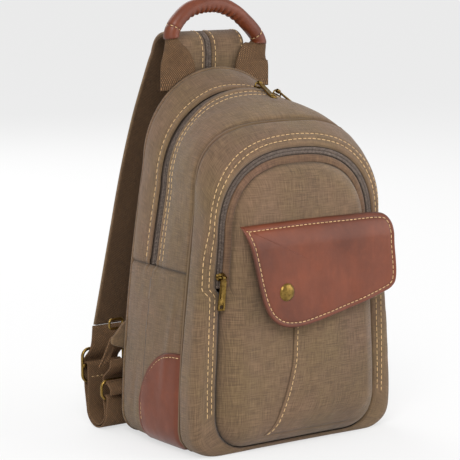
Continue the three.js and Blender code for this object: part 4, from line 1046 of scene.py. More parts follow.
# ------------------------------------------------------------------ back
def build_back():
    """Padded back: rings of the back section shrinking inwards, crowned, with a sewn border and two
    upright channels."""
    s = np.linspace(0, 2, 481)[:-1]
    rim = ring(BACK, s)
    rows, y = [], []
    for a in np.linspace(0, 1, 10):
        rows.append(inset(rim, 5.5 * (1 - math.cos(a * math.pi / 2))))
        y.append(45.3 + 4.6 * math.sin(a * math.pi / 2))
    for d in np.linspace(6.5, 22, 16):
        rows.append(inset(rim, d))
        y.append(49.9)
    centre = np.array([0, 160])
    rows += [centre + (rows[-1] - centre) * k for k in np.linspace(1, 0.02, 40)[1:]]
    y += [49.9] * 39
    xz = np.stack(rows)
    outline = resample(np.concatenate([rim, rim[:1]]), 800)[:-1]
    d = edge_distance(xz, outline)
    crown = 1.3 * step(d, 14, 40)
    channel = 1.9 * (bell(np.abs(xz[..., 0]) - 34, 2.2)) * step(d, 14, 24) + 1.5 * bell(d - 13, 1.8)
    p = np.stack([xz[..., 0], np.full(d.shape, 50.0), xz[..., 1]], -1)
    yy = np.array(y)[:, None] + crown - channel * step(d, 5, 8) + 0.5 * wrinkles(p, 51) * step(d, 5, 14)
    points = np.stack([xz[..., 0], np.minimum(yy, 51.6), xz[..., 1]], -1)
    # Painted shade in the sunk channels and round the outer edge where the pad meets the welt.
    tone = np.clip(-0.6 * channel / 1.9 - 0.8 * bell(d, 1), -1, 1)
    obj = closed_disc("back_pad", points, tone)
    obj.data.flip_normals()
    done(thicken(obj, 2.4), "root", "padding", replaces=["back_panel"])
    path = inset(rim, 13.0)
    line = np.insert(path, 1, 49.0, axis=1)
    normal = np.tile([0.0, 1.0, 0.0], (len(line), 1))
    done(stitches("back_stitches", [(line, normal)]), "root", "thread")
    # Bound seam round the back edge.
    welt = np.insert(inset(rim, 0.8), 1, 45.2, axis=1)
    welt[:, 2] = np.maximum(welt[:, 2], 1.7)
    done(tube("back_welt", welt, 1.5, 10, closed=True), "root", "canvas")


# ------------------------------------------------------------------ webbing and strap
def ribbon_points(line, middle, width, low, high, edge=0.7, per=6):
    """Cross-sections along a [y, z] line: a flat oblong with rounded edges, from low to high off the
    line, `width` wide about middle (x for each point)."""
    d = np.gradient(line, axis=0)
    d /= np.linalg.norm(d, axis=1, keepdims=True)
    off = np.stack([-d[:, 1], d[:, 0]], 1)
    mid, half = (low + high) / 2, (high - low) / 2
    a = np.linspace(-np.pi / 2, np.pi / 2, 7)
    flat = np.linspace(-1, 1, 2 * per)[1:-1]
    right = np.stack([width / 2 - edge + edge * np.cos(a), mid + half * np.sin(a)], 1)
    top = np.stack([-flat * (width / 2 - edge), np.full(len(flat), high)], 1)
    left = np.stack([-(width / 2 - edge) - edge * np.cos(a), mid - half * np.sin(a)], 1)
    bottom = np.stack([flat * (width / 2 - edge), np.full(len(flat), low)], 1)
    section = np.concatenate([right, top, left, bottom])
    x = np.asarray(middle)[:, None] + section[None, :, 0]
    yz = line[:, None] + off[:, None] * section[None, :, 1, None]
    return np.stack([x, yz[..., 0], yz[..., 1]], -1)


STRAP_LINE = [[54.6, 318], [54.6, 330], [54.2, 344], [57, 355], [67, 360], [78, 355], [85, 342], [91, 316],
              [96, 284], [98.6, 250], [99, 215], [98, 180], [97, 145], [96, 110], [95.5, 92.5]]
STRAP_STEPS = 10
CURL_POINTS = 6 * STRAP_STEPS
STRAP_WIDTH, STRAP_GAP, STRAP_LEAN, STRAP_MIDDLE, LEAN_FROM = 82, 7, 0.235, -5, 342


def strap_line():
    line = catmull(STRAP_LINE, STRAP_STEPS)
    fall = np.where(np.arange(len(line)) > CURL_POINTS, np.maximum(0, LEAN_FROM - line[:, 1]), 0)
    return line, STRAP_MIDDLE - STRAP_LEAN * fall


def build_strap():
    line, middle = strap_line()
    half = (STRAP_WIDTH - STRAP_GAP) / 2 - 0.3
    shift = (STRAP_GAP + half) / 2 + 0.3
    d = np.gradient(line, axis=0)
    d /= np.linalg.norm(d, axis=1, keepdims=True)
    off = np.stack([-d[:, 1], d[:, 0]], 1)
    paths = []
    for side, name in ((-1, "left"), (1, "right")):
        x = middle + side * shift
        pad = ribbon_points(line, x, half, 0.3, 2.9, 1.3, 14)
        pad[..., 1] += 0.25 * wrinkles(pad, 61)
        tone = np.clip(0.25 * wrinkles(pad, 62), -1, 1)
        done(surface(f"strap_canvas_{name}", pad, wrap_cols=True, caps=True, tone=tone), "root", "canvas",
             replaces=[f"strap_pad_{name}"])
        lining = ribbon_points(line, x, half - 0.8, -1.6, -0.05, 0.7, 8)
        done(surface(f"strap_webbing_{name}", lining, wrap_cols=True, caps=True), "root", "webbing_dark",
             replaces=[f"strap_lining_{name}"])
        for inward in (-1, 1):
            xs = x + inward * (half / 2 - 3.4)
            places = np.stack([xs, line[:, 0] + off[:, 0] * 2.95, line[:, 1] + off[:, 1] * 2.95], 1)
            normal = np.stack([0 * xs, off[:, 0], off[:, 1]], 1)
            paths.append((places, normal))
    done(stitches("strap_stitches", paths), "root", "thread")
    tape = ribbon_points(line, middle, STRAP_GAP + 1.4, 0.4, 1.6, 0.4, 4)
    done(surface("strap_zip_tape", tape, wrap_cols=True, caps=True), "root", "zip",
         replaces=["strap_zip_chain"])
    places = np.stack([middle, line[:, 0] + off[:, 0] * 2.0, line[:, 1] + off[:, 1] * 2.0], 1)
    normal = np.stack([0 * middle, off[:, 0], off[:, 1]], 1)
    done(coil("strap_zip_coil", places, normal, 2.1), "root", "zip_coil")


WEB, WEB_T = 38, 1.6
LOOP_Y, LOOP_R, LAYER = 76.2, 16.6, 2.4
RING_Y, RING_Z, WIRE, RING_HEIGHT, RING_INNER = 61.5, 30, 1.6, 14, 41
SLIDE_WIRE, SLIDE_HEIGHT, SLIDE_INNER = 1.5, 28, 42
BARS = SLIDE_HEIGHT + 2 * SLIDE_WIRE
WRAP = SLIDE_WIRE + 0.7 + WEB_T / 2
SLIDE_Y = LOOP_Y + LOOP_R - LAYER + WRAP
CROSSING = 6


def arc(r, start, end, count, cy, cz):
    a = np.linspace(start, end, count + 1)
    return np.stack([cy + r * np.cos(a), cz + r * np.sin(a)], 1)


def adjuster_line(start, slide_z):
    """Webbing from the strap, behind the slide's middle bar, round the hanging loop, over the ring,
    back round the inner layer and up to the middle bar."""
    behind = SLIDE_Y + 2 * WRAP + 0.4 - SLIDE_WIRE
    inner, loop_z = LOOP_R - LAYER, LOOP_R + WEB_T / 2 + 0.4
    around = WIRE + 0.7 + WEB_T / 2
    back = arc(inner, -np.pi, 0, 8, LOOP_Y, loop_z)
    back[0, 0] += 0.3
    return np.concatenate([
        [start, [SLIDE_Y - WRAP, slide_z + BARS / 2], [behind - 1, slide_z + CROSSING - 1], [behind, slide_z],
         [behind - 1, slide_z - CROSSING], [SLIDE_Y + WRAP, slide_z - BARS / 2],
         [SLIDE_Y + WRAP - 0.6, slide_z - BARS / 2 - CROSSING]],
        arc(LOOP_R, 0, -np.pi, 8, LOOP_Y, loop_z), arc(around, np.pi, 0, 4, RING_Y, RING_Z), back,
        [[SLIDE_Y - WRAP, slide_z - BARS / 2], [SLIDE_Y - WRAP, slide_z - 2]],
        arc(WRAP, np.pi, 0, 4, SLIDE_Y, slide_z)])


def wire_path(inner, height, wire, x, y, z, corner=5.0):
    """Rounded oblong in the XZ plane, its lower bar's middle at (x, y, z)."""
    w, h = inner / 2 + wire, height + 2 * wire
    r = min(corner, height / 2)
    a = np.linspace(0, np.pi / 2, 10)
    corners = [(w - r, r, -np.pi / 2), (w - r, h - r, 0), (-w + r, h - r, np.pi / 2), (-w + r, r, np.pi)]
    line = np.concatenate([np.stack([cx + r * np.cos(t + a), cz + r * np.sin(t + a)], 1) for cx, cz,
                           t in corners])
    line = resample(np.concatenate([line, line[:1]]), 161)[:-1]
    return np.stack([x + line[:, 0], np.full(len(line), float(y)), z + line[:, 1]], 1)


def tab_line():
    top = RING_Z + RING_HEIGHT + 2 * WIRE
    wrap = WIRE + 0.7 + WEB_T / 2
    back = 51.3 + 0.3 + WEB_T / 2
    return catmull(np.concatenate([
        [[back, top - 12], [back, top - 7], [RING_Y - wrap, top - 1]],
        arc(wrap, np.pi, 2 * np.pi, 4, RING_Y, top),
        [[RING_Y + wrap - 0.3, top + 3], [back + 4, top + 10], [back, top + 15], [back, top + 21]]]), 6)


def build_adjusters():
    line, middle = strap_line()
    strap_end = line[-1]
    tacks = []
    for name, x, slide_z in (("left", -97, 56), ("right", -47, 50)):
        side = -1 if name == "left" else 1
        start_x = middle[-1] + side * ((STRAP_WIDTH - STRAP_GAP) / 4 + STRAP_GAP / 2)
        start = [strap_end[0] - WEB_T / 2, strap_end[1] - 0.3]
        path = catmull(adjuster_line(start, slide_z), 8)
        fall = start[1] - slide_z - SLIDE_HEIGHT / 2
        lead = np.arange(len(path)) < 80
        xs = np.where(lead, start_x + (x - start_x) * np.clip((start[1] - path[:, 1]) / fall, 0, 1), x)
        points = ribbon_points(path, smoothed(xs, 5), WEB, -WEB_T / 2, WEB_T / 2, 0.8, 8)
        done(surface(f"adjuster_{name}", points, wrap_cols=True, caps=True), "root", "webbing",
             replaces=[f"adjuster_webbing_{name}"])
        wire = wire_path(SLIDE_INNER, SLIDE_HEIGHT, SLIDE_WIRE, x, SLIDE_Y, slide_z - BARS / 2, 7)
        done(tube(f"slide_frame_{name}", wire, SLIDE_WIRE, 18, closed=True), "root", "brass",
             replaces=[f"slide_buckle_{name}"])
        bar = np.stack([np.linspace(x - 22.5, x + 22.5, 30), np.full(30, SLIDE_Y), np.full(30, slide_z)], 1)
        knob = 1.45 + 0.85 * bell(np.abs(np.linspace(-22.5, 22.5, 30)) - 21.8, 1.6)
        done(tube(f"slide_bar_{name}", bar, knob, 18, squeeze=[0, 1, 0]), "root", "brass")
        done(tube(f"ring_brass_{name}", wire_path(RING_INNER, RING_HEIGHT, WIRE, x, RING_Y, RING_Z, 6.5),
                  WIRE, 18,
                  closed=True), "root", "brass", replaces=[f"ring_{name}"])
        row = np.stack([np.linspace(x - 16, x + 16, 40), np.full(40, SLIDE_Y + WRAP + WEB_T / 2 - 0.1),
                        np.full(40, slide_z - BARS / 2 - 6.5)], 1)
        tacks.append((row, np.tile([0.0, 1.0, 0.0], (40, 1))))
        low = np.stack([np.linspace(x - 16, x + 16, 40), np.full(40, SLIDE_Y - WRAP - WEB_T / 2 + 0.1),
                        np.full(40, slide_z - 10.5)], 1)
        tacks.append((low, np.tile([0.0, -1.0, 0.0], (40, 1))))
    done(stitches("adjuster_stitches", tacks, 4.6, 3.2, 0.36), "root", "thread")
    tab = tab_line()
    rows = []
    for name, x in (("left", -97), ("right", -47), ("spare", 78)):
        points = ribbon_points(tab, np.full(len(tab), float(x)), WEB, -WEB_T / 2, WEB_T / 2, 0.8, 8)
        done(surface(f"tab_webbing_{name}", points, wrap_cols=True, caps=True), "root", "webbing",
             replaces=[f"ring_tab_{name}"])
        for z in (RING_Z + RING_HEIGHT + 2 * WIRE + 17, RING_Z + RING_HEIGHT + 2 * WIRE - 9.5):
            row = np.stack([np.linspace(x - 16, x + 16, 40), np.full(40, 51.6 + WEB_T + 0.1), np.full(40,
                                                                                                      z)], 1)
            rows.append((row, np.tile([0.0, 1.0, 0.0], (40, 1))))
    done(stitches("tab_stitches", rows, 4.6, 3.2, 0.36), "root", "thread")
    done(tube("ring_brass_spare", wire_path(RING_INNER, RING_HEIGHT, WIRE, 78, RING_Y, RING_Z, 6.5), WIRE, 18,
              closed=True), "ring_spare", "brass", replaces=["ring_spare"])


def plate(name, outline, y, thickness, edge=0.6, centre=None):
    """Flat closed plate over an [x, z] outline, its rim rounded, from y to y + thickness."""
    middle = outline.mean(0) if centre is None else np.asarray(centre, float)
    rows, ys = [], []
    for k in np.linspace(0.03, 1, 12):
        rows.append(middle + (inset(outline, edge) - middle) * k)
        ys.append(y + thickness)
    for a in np.linspace(0, np.pi, 7)[1:-1]:
        rows.append(inset(outline, edge * (1 - math.sin(a))))
        ys.append(y + thickness / 2 * (1 + math.cos(a)))
    for k in np.linspace(1, 0.03, 12):
        rows.append(middle + (inset(outline, edge) - middle) * k)
        ys.append(y)
    xz = np.stack(rows)
    points = np.stack([xz[..., 0], np.broadcast_to(np.array(ys)[:, None], xz.shape[:2]), xz[..., 1]], -1)
    return surface(name, points, wrap_cols=True, caps=True)


def counter(outline):
    """An outline turned, where needed, so that inset() moves it inwards."""
    x, z = outline.T
    area = np.sum(x * np.roll(z, -1) - np.roll(x, -1) * z)
    return outline if area > 0 else outline[::-1]


def build_ear():
    low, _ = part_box("strap_ear")
    x0, y0, z0 = (v / MM for v in low)
    corners = np.array([[x0 + 36, z0], [x0 + 0.6, z0 + 12], [x0, z0 + 17], [x0 + 14, z0 + 32], [x0 + 36,
                                                                                                z0 + 38]])
    outline = counter(resample(np.concatenate([corners, corners[:1]]), 121)[:-1])
    outline = smoothed(outline, 1.5, "wrap")
    done(plate("ear_canvas", outline, y0, 2.4, 1.0), "root", "canvas", replaces=["strap_ear"])
    ring_low, ring_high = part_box("ear_ring")
    x, y, z = ((ring_low[k] + ring_high[k]) / 2 / MM for k in range(3))
    wire = wire_path(12, 6, 1.3, x, y, ring_low[2] / MM + 1.3, 3)
    done(tube("ear_ring_brass", wire, 1.3, 14, closed=True), "root", "brass", replaces=["ear_ring"])
    tail_low, tail_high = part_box("ear_tail")
    left, right, bottom, top = tail_low[0] / MM, tail_high[0] / MM, tail_low[2] / MM, tail_high[2] / MM
    tail = np.array([[right - 12, top - 6], [left, bottom], [left + 12, bottom + 6], [right, top]])
    outline = counter(resample(np.concatenate([tail, tail[:1]]), 121)[:-1])
    outline = smoothed(outline, 1.2, "wrap")
    done(plate("ear_tail_webbing", outline, tail_low[1] / MM, 1.6, 0.7), "root", "webbing",
         replaces=["ear_tail"])
    path = inset(outline, 1.6)
    line = np.insert(path, 1, tail_high[1] / MM + 0.1, axis=1)
    done(stitches("ear_stitches", [(line, np.tile([0.0, 1.0, 0.0], (len(line), 1)))], 3, 2.2, 0.26), "root",
         "thread_brown")


# ------------------------------------------------------------------ handle
HANDLE_Y, FOLD = 48.3, 333.0
GRIP_LINE = [[-49, 361], [-42, 374], [-28, 384], [-8, 388], [14, 384], [32, 373], [50, 352]]


def handle_curve():
    start = FOLD + 0.9
    points = [[-42, start], [-44, start + 11]] + GRIP_LINE + [[46, start + 8], [42, start]]
    return catmull(points, 24)


def build_handle():
    curve = handle_curve()
    grip = resample(curve[2 * 24 - 4:-2 * 24 + 4], 220)
    run = lengths(grip)
    d = np.gradient(grip, axis=0)
    d /= np.linalg.norm(d, axis=1, keepdims=True)
    out = np.stack([-d[:, 1], d[:, 0]], 1)
    a = 2 * np.pi * np.arange(36) / 36
    under = np.clip(-np.cos(a), 0, 1)[None, :]
    inner_bend = step(run, 14, 40) * (1 - step(run, run[-1] - 50, run[-1] - 20))
    phase = run / 6.2 * 2 * np.pi + 1.4 * np.sin(run / 9)
    fold = 0.75 * (np.sin(phase)[:, None]) * under ** 1.2 * inner_bend[:, None]
    spots = np.stack([run[:, None] + 0 * a, 14 * np.cos(a)[None] + 0 * run[:, None],
                      14 * np.sin(a)[None] + 0 * run[:, None]], -1)
    radius = 7.0 + fold + 0.35 * lattice(spots, 11, 71)
    end = np.minimum(run, run[-1] - run)[:, None]
    radius = radius - 0.5 * bell(end - 9.5, 1.0) + 0.25 * bell(end - 1, 1.4) - 0.2 * bell(a[None] - np.pi,
                                                                                          0.12)
    wall = np.full_like(radius, 5.8)

    outer, inner = grid_out(grip, out, radius, a), grid_out(grip, out, wall, a)
    points = np.concatenate([outer, inner[::-1]])
    # Painted light on the ridges of the folds and painted shade in their hollows, painted shade in the stitch
    # grooves, darker at the ends, and the inner wall painted fully dark as shade.
    tone = np.clip(np.concatenate([fold * 1.1 - 0.6 * bell(end, 1.2) - 0.6 * bell(end - 9.5, 1.2),
                                   np.full_like(fold, -1.0)]), -1, 1)
    done(surface("grip_leather", points, wrap_rows=True, wrap_cols=True, tone=tone), "handle", "leather",
         replaces=["handle_grip"])
    rings = []
    for k in (9.5, run[-1] - 9.5):
        i = int(np.argmin(np.abs(run - k)))
        line = np.concatenate([outer[i], outer[i][:1]])
        centre = np.array([grip[i, 0], HANDLE_Y, grip[i, 1]])
        normal = line - centre
        normal /= np.linalg.norm(normal, axis=1, keepdims=True)
        rings.append((line + normal * 0.1, normal))
    done(stitches("grip_stitches", rings, 4.4, 3.0, 0.36), "handle", "thread")
    build_legs(curve)


def grid_out(centre, out, radius, a):
    """Rings round a line in the plane y = HANDLE_Y: cosine along `out`, sine along Y."""
    x = centre[:, None, 0] + out[:, None, 0] * radius * np.cos(a)
    z = centre[:, None, 1] + out[:, None, 1] * radius * np.cos(a)
    y = HANDLE_Y + radius * np.sin(a) * np.ones_like(x)
    return np.stack([x, y, z], -1)


def build_legs(curve):
    """Webbing legs: flat and wide where they are sewn, then curled backwards into a roll that goes
    into the grip.  Each cross-section is an arc whose angle grows with height."""
    for name, x_foot, line in (("left", -42, curve[:110]), ("right", 42, curve[::-1][:110])):
        sign = -1 if name == "left" else 1
        foot_z = np.linspace(303, FOLD + 0.5, 26)
        lead = np.stack([np.full(26, float(x_foot)), foot_z], 1)
        path = resample(np.concatenate([lead, line[1:]]), 150)
        run = lengths(path)
        d = np.gradient(smoothed(path, 4), axis=0)
        d /= np.linalg.norm(d, axis=1, keepdims=True)
        side = np.stack([d[:, 1], -d[:, 0]], 1)
        rise_ = path[:, 1] - FOLD
        gather = step(rise_, -2, 30)
        width = 38 - 12 * step(rise_, -6, 24)
        angle = 0.05 + 5.6 * gather ** 1.3
        k = np.linspace(-0.5, 0.5, 40)
        flat = step(rise_, -1, 10)[:, None]
        along = side * flat + (1 - flat) * np.array([1.0, 0.0])
        along /= np.linalg.norm(along, axis=1, keepdims=True)

        def sheet_at(depth):
            r = width / angle
            turn = angle[:, None] * k[None]
            across = (r[:, None] - depth) * np.sin(turn)
            back = r[:, None] - (r[:, None] - depth) * np.cos(turn) - (r - r * np.cos(angle / 2))[:,
                                                                                                  None] * 0.5
            px = path[:, None, 0] + along[:, None, 0] * across
            pz = path[:, None, 1] + along[:, None, 1] * across
            return np.stack([px, HANDLE_Y + back, pz], -1)
        front, rear = sheet_at(-0.75), sheet_at(0.75)
        rim = 248 + 82 * np.sqrt(np.clip(1 - (front[0, :, 0] / 82) ** 2, 0, 1)) + 0.2
        near = (rise_ < -1)[:, None]
        for grid in (front, rear):
            grid[..., 2] = np.where(near, np.maximum(grid[..., 2], rim[None]), grid[..., 2])
        points = np.concatenate([front, rear[:, ::-1]], 1)
        keep = np.where(path[:, 1] > 311)[0][0] - 1
        points = points[keep:]
        obj = surface(f"handle_leg_{name}", points, wrap_cols=True, caps=True)
        obj.data.materials.append(FINISHES["webbing"])
        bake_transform(obj)
        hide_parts(f"handle_foot_{name}", *(["handle_webbing"] if name == "left" else []))


# ------------------------------------------------------------------ zip hardware
def hardware_frame(joint_name, outward):
    """Place and axes of a slider from its pull's hinge: X is the hinge line turned round, Z points out."""
    joint = next(j for j in frame["joints"] if j["name"] == joint_name)
    origin = np.array(joint["pos_m"], float) / MM
    x = -np.array(joint["axis"], float)
    x /= np.linalg.norm(x)
    z = np.asarray(outward(origin), float)
    z -= x * (z @ x)
    z /= np.linalg.norm(z)
    return origin, np.stack([x, np.cross(z, x), z])


def placed(points, origin, axes):
    return origin + points @ axes


def oblong(w, h, r, count=96, taper=0.0):
    """Rounded oblong about the origin, w wide and h tall, narrower towards +y by `taper`."""
    r = min(r, w / 2 - 0.01, h / 2 - 0.01)
    a = np.linspace(0, np.pi / 2, 8)
    quarter = [(w / 2 - r, h / 2 - r, 0), (-w / 2 + r, h / 2 - r, np.pi / 2), (-w / 2 + r, -h / 2 + r, np.pi),
               (w / 2 - r, -h / 2 + r, 1.5 * np.pi)]
    line = np.concatenate([np.stack([cx + r * np.cos(t + a), cy + r * np.sin(t + a)], 1) for cx, cy,
                           t in quarter])
    line[:, 0] *= 1 - taper * (line[:, 1] / h + 0.5)
    return resample(np.concatenate([line, line[:1]]), count + 1)[:-1]


def slab(outline, z_low, z_high, bevel=0.3):
    """Closed plate over an outline in its own XY plane, from z_low to z_high, with a bevelled rim."""
    centre = outline.mean(0)
    rows, z = [], []
    for k, d, height in ((0.05, bevel, z_low), (1, bevel, z_low), (1, 0, z_low + bevel), (1, 0,
                                                                                          z_high - bevel),
                         (1, bevel, z_high), (0.05, bevel, z_high)):
        rows.append(centre + (inset(outline, d) - centre) * k)
        z.append(np.full(len(outline), float(height)))
    return np.dstack([np.stack(rows), np.stack(z)])


def pull_tab(origin, axes, turn, name, body, node):
    """Pull: an eye round the bar, a tapered tab and a slot near its end, with raised rims.  The tab is
    one ring of surface from the slot's edge to the outline and back underneath."""
    c, s = math.cos(turn), math.sin(turn)
    tilt = np.array([[1, 0, 0], [0, c, s], [0, -s, c]])
    local = tilt @ axes
    outer = oblong(7.4, 27.2, 1.1, 120, 0.26)
    slot = oblong(4.0, 3.0, 0.6, 120)
    slot_at = np.array([0, -10.2])
    angle_o = np.arctan2(*(outer - slot_at).T[::-1])
    angle_s = np.arctan2(*slot.T[::-1])
    order = np.argsort(angle_s)
    matched = np.stack([np.interp(angle_o, angle_s[order], slot[order, k], period=2 * np.pi) for k in (0,
                                                                                                       1)], 1)
    share = [0, 0.0, 0.10, 0.2, 0.3, 0.72, 0.8, 0.92, 1.0, 1.0, 1.0, 0.92, 0.5, 0.1, 0.0]
    height = [0.1, 0.75, 0.95, 0.9, 0.35, 0.35, 0.85, 0.9, 0.65, 0.2, -0.4, -0.7, -0.7, -0.7, -0.5]
    width = np.linalg.norm(outer - matched - slot_at, axis=1)
    rows = []
    for k, h in zip(share, height):
        near = np.clip(k * width, 0, None)
        if 0.05 < k < 0.4:
            near = np.minimum(near, 1.0 + 1.6 * (k - 0.1) / 0.2)
        if 0.6 < k < 1:
            near = np.maximum(near, width - (1.0 - k) * 5.5)
        f = np.clip(near / width, 0, 1)[:, None]
        xy = (matched + slot_at) * (1 - f) + outer * f
        rows.append(np.column_stack([xy, np.full(len(xy), h)]))
    tab = np.stack(rows) + np.array([0, -1.8 - 13.6, 0])
    obj = surface(name, placed(tab, origin, local), wrap_rows=True, wrap_cols=True)
    done(obj, body, "brass", replaces=[node])
    a = np.linspace(0, 2 * np.pi, 28, endpoint=False)
    b = np.linspace(0, 2 * np.pi, 12, endpoint=False)
    eye = np.stack([np.stack([2.1 * np.cos(v) + 0 * a, (1.62 + 0.42 * np.sin(v)) * np.cos(a),
                              (1.62 + 0.42 * np.sin(v)) * np.sin(a)], -1) for v in b])
    done(surface(f"{name}_eye", placed(eye, origin, local), wrap_rows=True, wrap_cols=True), body, "brass")


def build_slider(name, outward, turn):
    origin, axes = hardware_frame(f"{name}_pull_swing", outward)
    down = -6.2
    body = f"{name}_slider"
    a = np.linspace(0, 2 * np.pi, 96, endpoint=False)
    shape = np.stack([5.2 * np.cos(a) * (1 - 0.05 * np.cos(2 * a)),
                      4.0 * np.sin(a) * (1 + 0.1 * np.cos(2 * a))], 1)
    done(surface(f"{body}_top", placed(slab(shape, down + 1.5, down + 2.7, 0.45), origin, axes),
                 wrap_cols=True,
                 caps=True), body, "brass", replaces=[body])
    done(surface(f"{body}_base", placed(slab(shape * 0.9, down + 0.1, down + 0.9, 0.25), origin, axes),
                 wrap_cols=True, caps=True), body, "brass")
    post = oblong(2.4, 2.6, 0.8, 40)
    done(surface(f"{body}_post", placed(slab(post, down + 0.7, down + 1.7, 0.1), origin, axes),
                 wrap_cols=True,
                 caps=True), body, "brass")
    t = np.linspace(0, np.pi, 40)
    bridge = np.stack([4.3 * np.sign(np.cos(t)) * np.abs(np.cos(t)) ** 0.55, 0 * t,
                       down + 2.3 + (-down - 1.9) * np.sin(t) ** 0.5 - 0.4], 1)
    line = placed(bridge, origin, axes)
    done(tube(f"{body}_bridge", line, 0.75, 12, squeeze=axes[1]), body, "brass")
    pull_tab(origin, axes, turn, f"{name}_tab", f"{name}_pull", f"{name}_pull")


def rest_droop(node, origin, axes):
    """Angle of the pull at rest, from where its far end lies in the frame."""
    vertices = np.array([v.co for v in frame["nodes"][node].data.vertices]) / MM
    local = (vertices - origin) @ axes.T
    far = local[np.argsort(np.hypot(local[:, 1], local[:, 2]))[-8:]].mean(0)
    return math.atan2(far[2], -far[1])


def build_hardware():
    arch = np.array([0, 10, 231.0])
    for name, outward in (("main_left", lambda p: p - arch), ("main_right", lambda p: p - arch),
                          ("front", lambda p: (0, -1, 0)), ("strap", lambda p: (0, 1, -0.03))):
        origin, axes = hardware_frame(f"{name}_pull_swing", outward)
        build_slider(name, outward, -rest_droop(f"{name}_pull", origin, axes))


# ------------------------------------------------------------------ stage
def build_stage(look):
    bpy.ops.mesh.primitive_grid_add(x_subdivisions=2, y_subdivisions=2, size=90)
    floor = bpy.context.object
    floor.name = "studio_floor"
    f = Finish("pale_floor", 0.9)
    pale = f.node("BsdfDiffuse")
    pale.inputs["Color"].default_value = (0.86, 0.86, 0.86, 1)
    white = f.node("Emission")
    white.inputs["Strength"].default_value = 1.0
    path = f.node("LightPath")
    seen = f.math("MULTIPLY", f.math("MAXIMUM", path.outputs["Is Camera Ray"],
                                     path.outputs["Is Glossy Ray"]), 0.62)
    mixed = f.node("MixShader", seen, pale.outputs[0], white.outputs[0])
    f.tree.links.new(mixed.outputs[0], f.tree.nodes["Material Output"].inputs[0])
    floor.data.materials.append(f.mat)
    world = bpy.data.worlds.new("studio")
    bpy.context.scene.world = world
    world.use_nodes = True
    tree = world.node_tree
    background = tree.nodes["Background"]
    background.inputs["Color"].default_value = (1, 1, 1, 1)
    light = tree.nodes.new("ShaderNodeLightPath")
    either = tree.nodes.new("ShaderNodeMath")
    either.operation = "MAXIMUM"
    tree.links.new(light.outputs["Is Camera Ray"], either.inputs[0])
    tree.links.new(light.outputs["Is Transmission Ray"], either.inputs[1])
    level = tree.nodes.new("ShaderNodeMapRange")
    level.inputs["To Min"].default_value = look.ambient
    level.inputs["To Max"].default_value = 1.0
    tree.links.new(either.outputs[0], level.inputs["Value"])
    tree.links.new(level.outputs[0], background.inputs["Strength"])
    for name, place, size, power in (("key", (-1.5, -1.7, 1.9), 1.3, look.key), ("fill", (1.6, -1.4, 0.9),
                                                                                 1.8, look.fill),
                                     ("back", (0.3, 1.9, 1.5), 1.6, look.fill)):
        data = bpy.data.lights.new(name, "AREA")
        data.energy, data.size = power, size
        lamp = bpy.data.objects.new(name, data)
        lamp.location = place
        lamp.rotation_euler = (Vector((0, 0, 0.17)) - Vector(place)).to_track_quat("-Z", "Y").to_euler()
        bpy.context.scene.collection.objects.link(lamp)
    camera_data = bpy.data.cameras.new("camera")
    camera_data.sensor_width = 36
    camera_data.lens = 157.75
    camera = bpy.data.objects.new("camera", camera_data)
    azimuth, elevation, reach = math.radians(-36.33), math.radians(8.71), 1.8
    back = Vector((math.sin(azimuth) * math.cos(elevation), -math.cos(azimuth) * math.cos(elevation),
                   math.sin(elevation)))
    camera.location = Vector((-0.0371, -0.025, 0.1904)) + back * reach
    camera.rotation_euler = back.to_track_quat("Z", "Y").to_euler()
    bpy.context.scene.collection.objects.link(camera)
    bpy.context.scene.camera = camera
    bpy.context.scene.view_settings.view_transform = "Standard"


def finish_hidden():
    """Frame nodes that stay as they are still get a finish of their own."""
    for node, finish in (("divider_panel", "canvas"), ("snap_stud", "brass"), ("snap_socket", "brass")):
        obj = frame["nodes"][node]
        for slot in obj.material_slots:
            slot.material = FINISHES[finish]


# ------------------------------------------------------------------ add-on
def colour(name, description, default):
    return FloatVectorProperty(name=name, description=description, default=default, size=3, min=0, max=255)


class SlingBagLook(bpy.types.PropertyGroup):
    """Colours, on the 0 to 255 display scale, and light levels of the bag."""
    canvas: colour("Canvas", "Washed canvas of the body", (124, 100, 77))
    webbing: colour("Webbing", "Handle, strap and adjuster webbing", (104, 80, 58))
    leather: colour("Leather", "Flap, corners and grip", (112, 51, 23))
    brass: colour("Brass", "Rings, slides, sliders and snap", (146, 118, 62))
    zip_tape: colour("Zip tape", "Woven tape of the zips", (78, 64, 54))
    zip_coil: colour("Zip coil", "Nylon coil of the zips", (112, 98, 88))
    thread: colour("Thread", "Contrast stitching", (214, 178, 128))
    key: FloatProperty(name="Key light", description="Power of the main lamp", default=42, min=0,
                       unit="POWER")
    fill: FloatProperty(name="Fill light", description="Power of the other lamps", default=18, min=0,
                        unit="POWER")
    ambient: FloatProperty(name="Ambient", description="Strength of the even light", default=0.62, min=0)


class BagOperator:
    bl_options = {"REGISTER", "UNDO"}


class SLINGBAG_OT_finishes(BagOperator, bpy.types.Operator):
    """Make every cloth, leather, metal and thread finish"""
    bl_idname, bl_label = "sling_bag.finishes", "Finishes"

    def execute(self, context):
        make_finishes(context.scene.sling_bag)
        finish_hidden()
        return {"FINISHED"}


class SLINGBAG_OT_body(BagOperator, bpy.types.Operator):
    """Build the main compartment's gussets, sides and base"""
    bl_idname, bl_label = "sling_bag.body", "Body"

    def execute(self, context):
        build_body()
        return {"FINISHED"}


class SLINGBAG_OT_main_zip(BagOperator, bpy.types.Operator):
    """Build the main zip's tape, coil and stitch rows"""
    bl_idname, bl_label = "sling_bag.main_zip", "Main zip"

    def execute(self, context):
        build_main_zip()
        return {"FINISHED"}


class SLINGBAG_OT_front(BagOperator, bpy.types.Operator):
    """Build the second compartment, its front panel and the zip lip"""
    bl_idname, bl_label = "sling_bag.front", "Second compartment"

    def execute(self, context):
        build_front()
        return {"FINISHED"}


